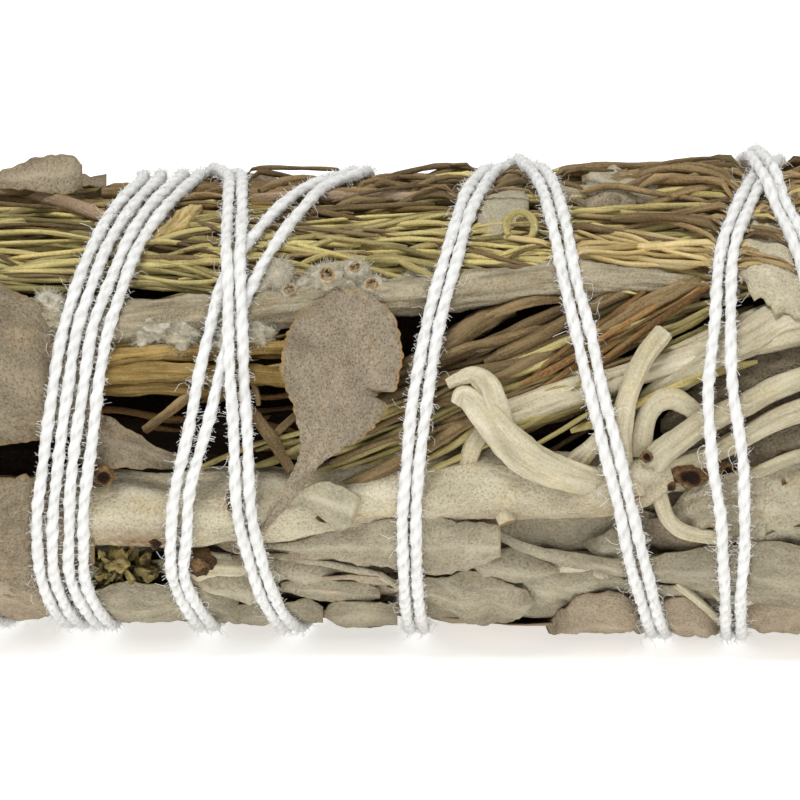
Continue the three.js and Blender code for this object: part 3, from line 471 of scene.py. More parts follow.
def tube(path: np.ndarray, radii: np.ndarray, sides: int, section: Section, seed: int, tint: float = 0.0,
         closing: float = 0.0) -> Patch:
    """A stem along a path.

    Args:
        path: The middle of the stem, one point a row.
        radii: Its radius at each point.
        sides: How many points make a ring.
        section: Its cross-section.
        seed: The draw's seed.
        tint: How it differs in colour from its finish.
        closing: How much its two tips narrow.

    Returns:
        The skin.
    """
    run, up, side, turn = framed(path, sides)
    reach = np.ones((len(path), sides))
    if section.ridges:
        sway = 0.5 * np.sin(run[:, None] * 0.35 + seed)
        reach += section.ridge * np.cos(section.ridges * turn + sway + seed)
    if section.groove:
        reach -= section.groove * np.exp(-(((turn + math.pi) % (2 * math.pi) - math.pi) / 0.5) ** 2)
    if section.knots:
        spots = (run[:, None] / 2.6 + np.sin(turn + seed) * 0.35) % 1.0
        reach += section.knots * np.exp(-((spots - 0.5) / 0.12) ** 2)
    around = np.stack([np.cos(turn) + 0 * run[:, None], np.sin(turn) + 0 * run[:, None],
                       run[:, None] + 0 * turn], axis=-1)
    flow = np.stack([around[..., 0] * radii[:, None] * 1.6, around[..., 1] * radii[:, None] * 1.6,
                     around[..., 2] * 0.6], axis=-1)
    reach += section.lump * lumps(flow + seed * 3.7, section.lump_size, seed + 11)
    reach += 0.3 * section.lump * lumps(flow + seed * 2.3, section.lump_size * 0.25, seed + 13)
    if closing:
        edge = np.minimum(run, run[-1] - run)
        radii = radii * (1 - closing * np.exp(-((edge / (2.2 * np.maximum(radii, 0.1))) ** 2)))
    reach *= radii[:, None]
    rings = (path[:, None] + up[:, None] * (reach * np.cos(turn) * section.flat)[..., None]
             + side[:, None] * (reach * np.sin(turn))[..., None])
    grain = np.stack([run[:, None] + seed * 5.3 + 0 * turn, reach * np.cos(turn), reach * np.sin(turn)],
                     axis=-1)
    plain = np.zeros(reach.shape)
    rib = np.clip(lumps(flow + seed, 4.0, seed + 3), 0, 1) * 0.5
    made = loft(rings, grain, tint, plain, rib, section.cut)
    made.tint[: reach.size] += 0.14 * lumps(flow, 3.0, seed + 31).reshape(-1)
    return made


def stem(stations: Sequence[Sequence[float]], *, sides: int = 10, section: Section = ROUND, seed: int = 1,
         tint: float = 0.0, step: float = 0.5, place: Place = seen, closing: float = 0.0) -> Patch:
    """A stem through stations of (two places, depth, radius).

    Args:
        stations: The stations.
        sides: How many points make a ring.
        section: The cross-section.
        seed: The draw's seed.
        tint: How it differs in colour from its finish.
        step: The distance between rings.
        place: What turns the first three numbers into a point.
        closing: How much its two tips narrow.

    Returns:
        The skin.
    """
    rough = smooth(stations, 40)
    length = run_length(place(rough[:, 0], rough[:, 1], rough[:, 2]))[-1]
    rows = smooth(stations, max(5, int(length / step)))
    path = place(rows[:, 0], rows[:, 1], rows[:, 2])
    return tube(path, rows[:, 3], sides, section, seed, tint, closing)


@dataclass(frozen=True)
class LeafForm:
    """How a leaf's surface is shaped, in millimetres."""

    thickness: float = 0.22
    camber: float = 0.3
    curl: float = 0.0
    crinkle: float = 0.22
    crinkle_size: float = 5.0
    midrib: float = 0.22
    veins: float = 0.07
    vein_gap: float = 1.9
    teeth: float = 0.1
    tooth_size: float = 0.9
    torn: float = 0.0
    columns: int = 26
    row_step: float = 0.4
    fold: float = 0.0
    rim_from: float = 0.0
    notch: tuple[float, float, float] = (0.0, 1.0, 0.0)


def leaf(edge_a: Sequence[Sequence[float]], edge_b: Sequence[Sequence[float]], *, form: LeafForm = LeafForm(),
         seed: int = 1, tint: float = 0.0, place: Place = seen) -> Patch:
    """A leaf between its two edges.

    Args:
        edge_a: Stations of one edge, from stalk to tip: two places and the depth.
        edge_b: Stations of the other edge.
        form: The shape of its surface.
        seed: The draw's seed.
        tint: How it differs in colour from its finish.
        place: What turns the three numbers into a point.

    Returns:
        The skin.
    """
    rough_a, rough_b = smooth(edge_a, 40), smooth(edge_b, 40)
    middle = (rough_a + rough_b) / 2
    length = run_length(place(middle[:, 0], middle[:, 1], middle[:, 2]))[-1]
    rows = max(8, int(length / form.row_step))
    a, b = smooth(edge_a, rows), smooth(edge_b, rows)
    u = np.sin(np.linspace(-math.pi / 2, math.pi / 2, form.columns))[None, :]
    share = ((u + 1) / 2)[..., None]
    grid = a[:, None] * (1 - share) + b[:, None] * share
    flat = place(grid[..., 0], grid[..., 1], grid[..., 2])
    spine = flat[:, form.columns // 2]
    run = run_length(spine)[:, None]
    half_width = np.maximum(np.linalg.norm(flat[:, -1] - flat[:, 0], axis=-1) / 2, 0.02)[:, None]
    wide = u * half_width
    across = unit(flat[:, -1] - flat[:, 0])[:, None]
    up = outward(flat)
    surface = np.stack([run + 0 * u, wide, np.full(wide.shape, seed * 7.1)], axis=-1)
    fullness = np.clip(half_width / 1.2, 0.05, 1)
    rise = form.camber * (1 - u**2) * fullness + form.curl * np.abs(u) ** 3 * fullness
    rise = rise + form.fold * (1 - np.abs(u)) * fullness
    rise = rise + form.crinkle * lumps(surface, form.crinkle_size, seed) * fullness
    rise = rise + 0.35 * form.crinkle * lumps(surface, form.crinkle_size * 0.32, seed + 5) * fullness
    rise = rise + 0.04 * lumps(surface, 0.9, seed + 6) * fullness
    rise = rise + 0.3 * form.crinkle * lumps(surface * [0.3, 1.0, 1.0], 1.3, seed + 7) * fullness
    rib_line = np.exp(-((wide / 0.3) ** 2))
    slant = (run - np.abs(wide) * 1.1) / form.vein_gap + 0.25 * lumps(surface, 3.0, seed + 9)
    vein_line = np.exp(-((((slant % 1.0) - 0.5) / 0.11) ** 2)) * np.clip(np.abs(wide) / 0.6, 0, 1)
    rise = rise - form.midrib * rib_line * fullness - form.veins * vein_line * fullness
    shift = form.teeth * np.abs(np.sin(run * math.pi / form.tooth_size + 0.6 * np.sin(run * 1.3 + seed)))
    edge_line = np.stack([run[:, 0], run[:, 0] * 0], axis=-1)
    shift = shift + form.torn * lumps(edge_line, 1.4, seed + 21)[:, None]
    shift = shift + form.torn * 0.6 * lumps(edge_line, 0.5, seed + 22)[:, None]
    shift = shift * np.clip(half_width / 1.2 - 0.3, 0, 1) * np.sign(u) * np.abs(u) ** 5
    where, notch_width, notch_depth = form.notch
    bite = notch_depth * np.exp(-(((run / run[-1] - where) * run[-1] / notch_width) ** 2))
    shift = shift - bite * (1 + 0.3 * np.sin(run * 11)) * np.clip(u, 0, 1) ** 2.5
    sheet = flat + up * rise[..., None] + across * shift[..., None]
    thick = form.thickness * (0.35 + 0.65 * np.sqrt(np.clip(1 - u**2, 0, 1))) / 2
    thick = thick * np.clip(half_width / 0.6, 0.35, 1)
    rings = np.concatenate([sheet + up * thick[..., None], (sheet - up * thick[..., None])[:, ::-1]], axis=1)
    grain = np.concatenate([surface, surface[:, ::-1]], axis=1)
    near_end = np.minimum(run, run[-1] - run)
    rim = np.clip((np.abs(u) - 0.955) / 0.045, 0, 1) * np.clip(half_width / 1.0, 0, 1)
    rim = np.maximum(rim, np.clip(1 - near_end / 0.12, 0, 1) * np.clip(half_width / 0.8, 0, 1))
    rim = rim * np.clip((run / run[-1] - form.rim_from) / 0.05 + 1, 0, 1)
    rib = np.clip(rib_line * min(0.85, 4 * form.midrib) + vein_line * 0.35, 0, 1) * fullness
    made = loft(rings, grain, tint, np.concatenate([rim, rim[:, ::-1]], axis=1),
                np.concatenate([rib, rib[:, ::-1]], axis=1))
    shade = 0.14 * lumps(surface, 3.4, seed + 31) - 0.2 * np.abs(u) ** 3 - 0.14 * vein_line * fullness
    shade = shade + 0.08 + 0.1 * lumps(surface * [0.4, 1.0, 1.0], 1.2, seed + 32)
    made.tint[: rings[..., 0].size] += np.concatenate([shade, shade[:, ::-1]], axis=1).reshape(-1)
    return made


def edges(stations: Sequence[Sequence[float]]) -> tuple[list[list[float]], list[list[float]]]:
    """Splits stations of (along, low edge, high edge, low depth, high depth) into a leaf's two edges."""
    return [[s[0], s[1], s[3]] for s in stations], [[s[0], s[2], s[4]] for s in stations]


def boss(along: float, across: float, depth: float, profile: Sequence[tuple[float, float, float]], *,
         seed: int, lump: float, tint: float = 0.0, squash: float = 1.0) -> Patch:
    """A round knob, scar or gall that stands on the skin.

    Args:
        along: To the right in the plane of view.
        across: Up in the plane of view.
        depth: The depth of its foot.
        profile: Rows of (radius, height, rim) from the foot to the middle.
        seed: The draw's seed.
        lump: How uneven it is, as a share.
        tint: How it differs in colour from its finish.
        squash: How much longer it is along the bunch than across.

    Returns:
        The skin.
    """
    centre = seen(np.array(along), np.array(across), np.array(depth))
    up = outward(centre)
    long_way = np.array([1.0, 0.0, 0.0])
    wide_way = np.cross(up, long_way)
    rows = smooth(profile, max(14, 5 * len(profile)))
    turn = np.linspace(0, 2 * math.pi, BOSS_SIDES, endpoint=False)[None, :]
    radius = np.maximum(rows[:, 0], 0.01)[:, None]
    height = rows[:, 1][:, None]
    flow = np.stack([radius * np.cos(turn), radius * np.sin(turn), height + 0 * turn], axis=-1)
    swell = 1 + lump * lumps(flow * 1.5 + seed * 2.9, 1.3, seed)
    rings = (centre + long_way * (radius * swell * np.cos(turn) * squash)[..., None]
             + wide_way * (radius * swell * np.sin(turn))[..., None] + up * (height * swell)[..., None])
    rings = rings[:, ::-1]
    grain = flow + [0, 0, seed * 4.1]
    rim = np.clip(rows[:, 2], 0, 1)[:, None] + 0 * turn
    end_rim = float(np.clip(rows[-1, 2], 0, 1))
    return loft(rings, grain, tint, rim, np.zeros(rim.shape), (0.0, end_rim))


def linear(hex_colour: str) -> tuple[float, float, float, float]:
    """An sRGB hex colour as linear numbers."""
    channels = [int(hex_colour[i : i + 2], 16) / 255 for i in (0, 2, 4)]
    red, green, blue = (c / 12.92 if c <= 0.04045 else ((c + 0.055) / 1.055) ** 2.4 for c in channels)
    return red, green, blue, 1.0


def add_node(tree: bpy.types.NodeTree, kind: str, inputs: dict[str | int, object] | None = None,
             **settings: object) -> bpy.types.Node:
    """Adds a node with its settings, and fills its inputs with links or values.

    Args:
        tree: The node tree.
        kind: The node's type.
        inputs: What goes into each socket: the socket that it links from, or its value.
        settings: The node's own settings.

    Returns:
        The node.
    """
    made = tree.nodes.new(kind)
    for key, value in settings.items():
        setattr(made, key, value)
    for key, value in (inputs or {}).items():
        if isinstance(value, bpy.types.NodeSocket):
            tree.links.new(value, made.inputs[key])
        else:
            made.inputs[key].default_value = value
    return made


class Surface:
    """Builds the material of a finish: layers of colour over one another, laid out on the piece's grain."""

    def __init__(self, finish: Finish) -> None:
        """Keeps the finish that the material is made from."""
        self.finish = finish

    def build(self) -> bpy.types.Material:
        """Makes the node tree.

        Returns:
            The material.
        """
        f = self.finish
        material = bpy.data.materials.new(f.name)
        material.use_nodes = True
        tree = material.node_tree
        tree.nodes.clear()
        grain = add_node(tree, "ShaderNodeAttribute", attribute_name="grain").outputs["Vector"]
        fields = {}
        # Each field of noise: its features for each millimetre across the grain, and their share along it.
        for name, size, stretch in (
            ("broad", 0.35, 0.5), ("patch", 0.8, 0.5), ("fibre", f.fibre_size, f.stretch),
            ("fleck", f.speck_size * 1.7, 0.8),
        ):
            along = add_node(tree, "ShaderNodeMapping", {"Vector": grain, "Scale": (stretch, 1.0, 1.0)})
            fields[name] = add_node(tree, "ShaderNodeTexNoise", {
                "Vector": along.outputs["Vector"], "Scale": size, "Detail": 3.0, "Roughness": 0.6,
            }).outputs["Fac"]
        dots = add_node(tree, "ShaderNodeTexVoronoi", {"Vector": grain, "Scale": f.speck_size})
        fields["dot"] = dots.outputs["Distance"]
        for name in ("rib", "rim"):
            fields[name] = add_node(tree, "ShaderNodeAttribute", attribute_name=name).outputs["Fac"]
        # Each layer: its field, where in the field it begins and is full, its strength and its colour.
        layers = (
            ("broad", 0.35, 0.7, 0.55, f.shade), ("patch", 0.52, 0.75, 0.55, f.warm),
            ("fibre", 0.5, 0.72, f.fibre, f.shade), ("fibre", 0.48, 0.3, f.fibre * 0.5, f.rib),
            ("fleck", 0.52, 0.7, f.speck_share * 0.7, f.speck),
            ("fleck", 0.46, 0.34, f.speck_share * 0.7, f.rib),
            # The rib and rim layers hold the painted highlight on the cotton's ply crests, and the painted
            # shade in its valleys and in the galls' holes.
            ("dot", 0.42, 0.16, f.speck_share, f.speck), ("rib", 0.0, 1.0, 0.6, f.rib),
            ("rim", 0.0, 1.0, 1.0, f.rim),
        )
        colour: object = linear(f.base)
        for name, low, high, strength, layer_colour in layers:
            share = add_node(tree, "ShaderNodeMapRange", {
                "Value": fields[name], "From Min": low, "From Max": high, "To Max": strength,
            })
            mixed = add_node(tree, "ShaderNodeMix", {
                0: share.outputs["Result"], 6: colour, 7: linear(layer_colour),
            }, data_type="RGBA")
            colour = mixed.outputs[2]
        tint = add_node(tree, "ShaderNodeAttribute", attribute_name="tint")
        value = add_node(tree, "ShaderNodeMapRange", {
            "Value": tint.outputs["Fac"], "From Min": -1.0, "From Max": 1.0, "To Min": 0.4, "To Max": 1.6,
        }, clamp=False)
        tinted = add_node(tree, "ShaderNodeHueSaturation", {
            "Color": colour, "Value": value.outputs["Result"],
        })
        rough = add_node(tree, "ShaderNodeMath", {0: fields["fibre"], 1: f.fibre + 0.3}, operation="MULTIPLY")
        felt = add_node(tree, "ShaderNodeMath", {0: fields["fleck"], 1: 0.25 + f.speck_share,
                                                 2: rough.outputs["Value"]}, operation="MULTIPLY_ADD")
        pebbled = add_node(tree, "ShaderNodeMath", {
            0: fields["dot"], 1: f.speck_share, 2: felt.outputs["Value"],
        }, operation="MULTIPLY_ADD")
        bump = add_node(tree, "ShaderNodeBump", {"Height": pebbled.outputs["Value"], "Strength": 1.0,
                                                 "Distance": f.bump * MM})
        shader = add_node(tree, "ShaderNodeBsdfPrincipled", {
            "Base Color": tinted.outputs["Color"], "Roughness": f.roughness, "Specular IOR Level": 0.2,
            "Sheen Weight": f.sheen, "Normal": bump.outputs["Normal"],
        })
        add_node(tree, "ShaderNodeOutputMaterial", {"Surface": shader.outputs["BSDF"]})
        return material


@dataclass
class Piece:
    """One visible piece: the skins that it is made of, its finish and the nodes that it stands for."""

    name: str
    finish: Finish
    slot: Slot
    nodes: tuple[str, ...] = ()
    patches: list[Patch] = field(default_factory=list)

    def add(self, *patches: Patch) -> "Piece":
        """Adds skins to the piece."""
        self.patches.extend(patches)
        return self

    def mesh(self, string: "DoubledString") -> bpy.types.Mesh:
        """Makes one mesh of all the skins.

        Args:
            string: The string that presses the piece down, unless the piece is the string.

        Returns:
            The mesh, in metres.
        """
        starts = np.cumsum([0] + [len(p.vertices) for p in self.patches])
        vertices = above_table(np.concatenate([p.vertices for p in self.patches]))
        if self.slot is not Slot.COTTON:
            vertices = string.pressed(vertices)
        vertices = vertices * MM
        loops: list[np.ndarray] = []
        totals: list[np.ndarray] = []
        for start, patch in zip(starts, self.patches):
            for faces in patch.faces:
                loops.append((faces + start).reshape(-1))
                totals.append(np.full(len(faces), faces.shape[1]))
        corner, total = np.concatenate(loops), np.concatenate(totals)
        mesh = bpy.data.meshes.new(self.name)
        mesh.vertices.add(len(vertices))
        mesh.vertices.foreach_set("co", vertices.astype(np.float32).reshape(-1))
        mesh.loops.add(len(corner))
        mesh.loops.foreach_set("vertex_index", corner.astype(np.int32))
        mesh.polygons.add(len(total))
        mesh.polygons.foreach_set("loop_start", (np.cumsum(total) - total).astype(np.int32))
        mesh.polygons.foreach_set("loop_total", total.astype(np.int32))
        mesh.polygons.foreach_set("use_smooth", np.ones(len(total), dtype=bool))
        for name in ("tint", "rim", "rib"):
            values = np.concatenate([getattr(p, name) for p in self.patches]).astype(np.float32)
            mesh.attributes.new(name, "FLOAT", "POINT").data.foreach_set("value", values)
        grain = np.concatenate([p.grain for p in self.patches]).astype(np.float32).reshape(-1)
        mesh.attributes.new("grain", "FLOAT_VECTOR", "POINT").data.foreach_set("vector", grain)
        mesh.update(calc_edges=True)
        return mesh

    def build(self, shop: "Workshop") -> bpy.types.Object:
        """Puts the piece in the scene.

        Args:
            shop: Where its material comes from, and the string that it keeps clear of.

        Returns:
            The object.
        """
        made = bpy.data.objects.new(self.name, self.mesh(shop.string))
        made.data.materials.append(shop.of(self.finish))
        bpy.context.scene.collection.objects.link(made)
        declare(made, self.slot, self.nodes)
        LOG.info("%s: %d faces", self.name, len(made.data.polygons))
        return made


def declare(made: bpy.types.Object, slot: Slot, nodes: Iterable[str]) -> None:
    """Parents an object to the root body, and hides the nodes of the part that it stands for."""
    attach(made, "root")
    if nodes:
        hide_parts(*nodes)


class Workshop:
    """The materials made so far, one for each finish, and the string that holds every other piece down."""

    def __init__(self, string: "DoubledString") -> None:
        """Starts with no materials, and keeps the string."""
        self.made: dict[str, bpy.types.Material] = {}
        self.string = string

    def of(self, finish: Finish) -> bpy.types.Material:
        """The material of a finish."""
        if finish.name not in self.made:
            self.made[finish.name] = Surface(finish).build()
        return self.made[finish.name]


Pass = list[tuple[float, float, float]]
BAND_FIRST: Pass = [
    (-26.0, -18.0, 1.05), (-28.6, -14.0, 1.1), (-28.6, -8.5, 1.15), (-27.9, -2.7, 1.2), (-26.7, 5.4, 1.15),
    (-24.0, 12.9, 1.2), (-20.0, 17.7, 1.4),
]
BAND_SECOND: Pass = [
    (-23.7, -18.0, 1.05), (-26.2, -14.0, 1.1), (-26.1, -8.5, 1.15), (-25.4, -2.7, 1.2), (-24.3, 5.4, 1.15),
    (-21.4, 12.9, 1.2), (-17.1, 17.7, 1.4),
]
PASS_LEANING_LEFT: Pass = [
    (-15.5, -18.1, 1.05), (-18.0, -14.0, 1.05), (-17.7, -7.7, 1.1), (-16.6, -3.4, 1.3), (-15.1, 3.1, 1.7),
    (-13.1, 9.6, 2.4), (-8.9, 15.4, 2.0), (-6.6, 17.4, 1.3), (-3.4, 18.2, 1.1),
]
PASS_UPRIGHT: Pass = [
    (-8.6, -18.5, 1.05), (-11.0, -14.9, 1.05), (-12.5, -9.9, 1.05), (-12.8, -5.6, 1.05), (-13.0, 0.2, 1.05),
    (-13.3, 6.5, 1.05), (-13.4, 12.1, 1.05), (-13.2, 17.8, 1.05),
]
PASS_MIDDLE: Pass = [
    (1.4, -18.7, 1.05), (0.9, -15.6, 1.05), (0.7, -9.9, 1.05), (1.0, -5.6, 1.05), (1.5, 0.0, 1.05),
    (3.1, 7.9, 1.05), (4.6, 13.1, 1.05), (6.0, 17.0, 1.05), (7.3, 18.4, 1.05),
]
PASS_LEANING_BACK: Pass = [
    (20.9, -18.8, 1.05), (19.8, -15.6, 1.05), (18.3, -9.2, 1.05), (16.5, -2.0, 1.05), (15.6, 1.6, 1.05),
    (13.6, 10.0, 1.05), (12.3, 16.2, 1.05), (11.1, 18.5, 1.05),
]
PASS_RIGHT: Pass = [
    (26.9, -19.2, 1.05), (26.8, -15.6, 1.2), (26.9, -9.9, 1.9), (26.5, -5.6, 2.4), (25.8, 1.0, 1.85),
    (25.9, 6.5, 1.2), (26.3, 12.1, 1.05), (28.4, 17.1, 1.05), (29.7, 18.7, 1.05),
]
PASS_FAR_RIGHT: Pass = [
    (40.3, -18.7, 1.05), (38.6, -13.0, 1.05), (36.0, -2.0, 1.05), (32.3, 12.7, 1.05), (30.7, 15.6, 1.05),
    (28.8, 18.6, 1.05),
]


def plain_pass(bottom: float, top: float) -> Pass:
    """A pass outside the seen stretch."""
    gap = STRING_PAIR_GAP
    return [(bottom, -17.5, gap), (bottom * 0.65 + top * 0.35, -7, gap), (bottom * 0.35 + top * 0.65, 7, gap),
            (top, 17.3, gap)]


class DoubledString:
    """The cotton string: one long string, doubled, wound to the tips and back."""

    def __init__(self) -> None:
        """Lays out the passes towards the tips and back."""
        self.outgoing = [
            plain_pass(-47.0, -44.0), plain_pass(-38.5, -34.5), BAND_FIRST, BAND_SECOND, PASS_LEANING_LEFT,
            PASS_MIDDLE, PASS_RIGHT, plain_pass(45.5, 50.5), plain_pass(62.0, 64.5),
        ]
        self.returning = [
            plain_pass(65.5, 58.0), PASS_FAR_RIGHT, PASS_LEANING_BACK, PASS_UPRIGHT, plain_pass(-33.4, -40.0),
            plain_pass(-48.5, -49.5),
        ]
        self.turns, self.x, self.gap = self._line()
        self.is_returning = self.turns > len(self.outgoing) * 360 - 90

    def _line(self) -> tuple[np.ndarray, np.ndarray, np.ndarray]:
        """The route of the pair's middle: turn, x and the distance between its strands."""
        passes = self.outgoing + self.returning
        last = (len(passes) - 1) * 360 + KNOT_ANGLE
        stations = [(KNOT_ANGLE - 360, KNOT_X, STRING_PAIR_GAP)]
        for index, one in enumerate(passes):
            along, across, gap = (np.array(column) for column in zip(*one))
            x, degrees = seen_place(along, across, np.full(len(along), -STRING_STANDOFF))
            stations += list(zip(index * 360 + degrees, x, gap))
        stations.append((last, KNOT_X + 1.2, STRING_PAIR_GAP))
        rows = np.array(stations)
        turns = np.arange(KNOT_ANGLE - 360, last, 360 / TURN_SAMPLES)
        k = np.clip(np.searchsorted(rows[:, 0], turns, side="right") - 1, 0, len(rows) - 2)
        span = rows[k + 1, 0] - rows[k, 0]
        t = (turns - rows[k, 0]) / span
        eased = np.where(span > 60, t * t * (3 - 2 * t) * 0.5 + t * 0.5, t)
        x = rows[k, 1] + (rows[k + 1, 1] - rows[k, 1]) * eased
        gap = rows[k, 2] + (rows[k + 1, 2] - rows[k, 2]) * t
        window = np.hanning(15)
        window /= window.sum()
        ends = np.pad(x, 7, mode="edge")
        return turns, np.convolve(ends, window, mode="valid"), gap

    def strand_x(self, side: int) -> np.ndarray:
        """Where one strand of the pair runs: side is 1 or -1."""
        wander = lumps(np.stack([self.turns / 40, self.turns * 0 + side * 7], axis=-1), 1.0, 91 + side)
        return self.x + side * self.gap / 2 + STRING_WANDER * wander

    def crossing_lift(self, side: int) -> np.ndarray:
        """How far a strand is pushed off by strands of the other layer."""
        mine = self.strand_x(side)
        lift = np.zeros(len(mine))
        rounds = len(mine) // TURN_SAMPLES + 1
        for other_side in (-1, 1):
            theirs = self.strand_x(other_side)
            for shift in range(-rounds, rounds + 1):
                index = np.arange(len(mine)) + shift * TURN_SAMPLES
                valid = (index >= 0) & (index < len(mine))
                index = np.clip(index, 0, len(mine) - 1)
                valid &= self.is_returning[index] != self.is_returning
                apart = np.abs(mine - theirs[index])
                near = np.clip(1 - (apart - CROSSING_NEAR) / CROSSING_REACH, 0, 1)
                lift = np.maximum(lift, np.where(valid, near, 0))
        return CROSSING_LIFT * lift * lift * (3 - 2 * lift)

    def strand_path(self, side: int) -> np.ndarray:
        """The middle line of one strand, in millimetres."""
        x = self.strand_x(side)
        under = np.clip(1 - (1 + np.sin(np.radians(self.turns))) / 0.16, 0, 1)
        give = self.crossing_lift(side)
        lift = np.where(self.is_returning, give * (1 - under), 0)
        points = placed(x, self.turns, -(STRING_STANDOFF + lift))
        floor = STRING_RADIUS + 0.06 + np.where(self.is_returning, 0, give * under)
        points[:, 2] = np.maximum(points[:, 2], floor)
        return points

    def pressed(self, points: np.ndarray) -> np.ndarray:
        """The points, with those under the string pressed below it.

        Args:
            points: Places, one a row.

        Returns:
            The pressed places.
        """
        away = outward(points)
        height = np.linalg.norm(points[:, 1:] - [0, AXIS_Z], axis=1) - skin_radius(points[:, 0])
        near = np.flatnonzero(height > TIED_LIMIT - 0.7)
        x, degrees = points[near, 0], np.degrees(np.arctan2(points[near, 2] - AXIS_Z, -points[near, 1]))
        apart = np.full(len(near), np.inf)
        for side in (-1, 1):
            strand = self.strand_x(side)
            for turn in np.arange(-720, self.turns[-1] + 360, 360):
                here = degrees + turn
                on_string = (here > self.turns[0]) & (here < self.turns[-1])
                distance = np.abs(x - np.interp(here, self.turns, strand))
                apart = np.minimum(apart, np.where(on_string, distance, np.inf))
        limit = TIED_LIMIT + 0.9 * np.minimum(apart / TIED_REACH, 9.0) ** 2
        soft = -TIED_SOFTNESS * np.logaddexp(-height[near] / TIED_SOFTNESS, -limit / TIED_SOFTNESS)
        moved = points.copy()
        moved[near] += away[near] * (soft - height[near])[:, None]
        return moved

    def strand(self, side: int) -> Patch:
        """One strand, with its plies twisted round each other."""
        return twisted(self.strand_path(side), STRING_RADIUS, 3 + side)

    def knot(self) -> list[Patch]:
        """The knot and its two pairs of short tails."""
        turn = np.linspace(0, 2 * math.pi * 3, 150)
        centre = placed(np.array(KNOT_X + 0.5), np.array(KNOT_ANGLE), np.array(-1.5))
        up = outward(centre)
        wide = np.cross(up, [1.0, 0, 0])
        swing = 0.95 + 0.45 * np.cos(turn * 2 / 3)
        loop = (centre + np.outer(swing * np.cos(turn), [1.0, 0, 0]) + np.outer(swing * np.sin(turn), wide)
                + np.outer(0.45 * np.sin(turn * 2 / 3), up))
        made = [twisted(loop, STRING_RADIUS, 9)]
        for towards, end in ((-1.0, 22.0), (-0.9, -16.0)):
            rows = smooth([
                (KNOT_X + 0.5, KNOT_ANGLE, -1.4), (KNOT_X + 0.5 + towards * 3, KNOT_ANGLE + end * 0.4, -1.5),
                (KNOT_X + 0.5 + towards * 6, KNOT_ANGLE + end, -0.9),
                (KNOT_X + 0.5 + towards * 10, KNOT_ANGLE + end * 1.2, -0.9),
            ], 50)
            made.append(twisted(placed(rows[:, 0], rows[:, 1], rows[:, 2]), STRING_RADIUS, 12))
        return made


def twisted(path: np.ndarray, radius: float, seed: int) -> Patch:
    """A string of two plies along a path.

    Args:
        path: Its middle line.
        radius: Its radius.
        seed: The draw's seed.

    Returns:
        The skin.
    """
    run, up, side, turn = framed(path, STRING_SIDES)
    spin = 2 * math.pi * run[:, None] / STRING_PITCH + 0.5 * np.sin(run[:, None] * 0.7 + seed)
    plies = np.abs(np.cos(turn - spin))
    slack = 1 + 0.07 * np.sin(run[:, None] * 1.1 + seed) + 0.05 * np.sin(run[:, None] * 2.9 + 2 * seed)
    flow = np.stack([run[:, None] + 0 * turn, np.cos(turn) + 0 * spin, np.sin(turn) + 0 * spin], axis=-1)
    slack = slack + 0.05 * lumps(flow, 0.9, seed + 2)
    reach = radius * slack * (0.82 + 0.24 * plies)
    rings = (path[:, None] + up[:, None] * (reach * np.cos(turn))[..., None]
             + side[:, None] * (reach * np.sin(turn))[..., None])
    grain = np.stack([run[:, None] + seed * 9.0 + 0 * turn, radius * np.cos(turn - spin),
                      radius * np.sin(turn - spin)], axis=-1)
    # Painted shade and painted highlight: the rim share greys the valleys between the plies, and the rib
    # share lightens their crests.
    return loft(rings, grain, 0.0, np.clip(1 - plies / 0.45, 0, 1) * 0.8, plies**2 * 0.6)


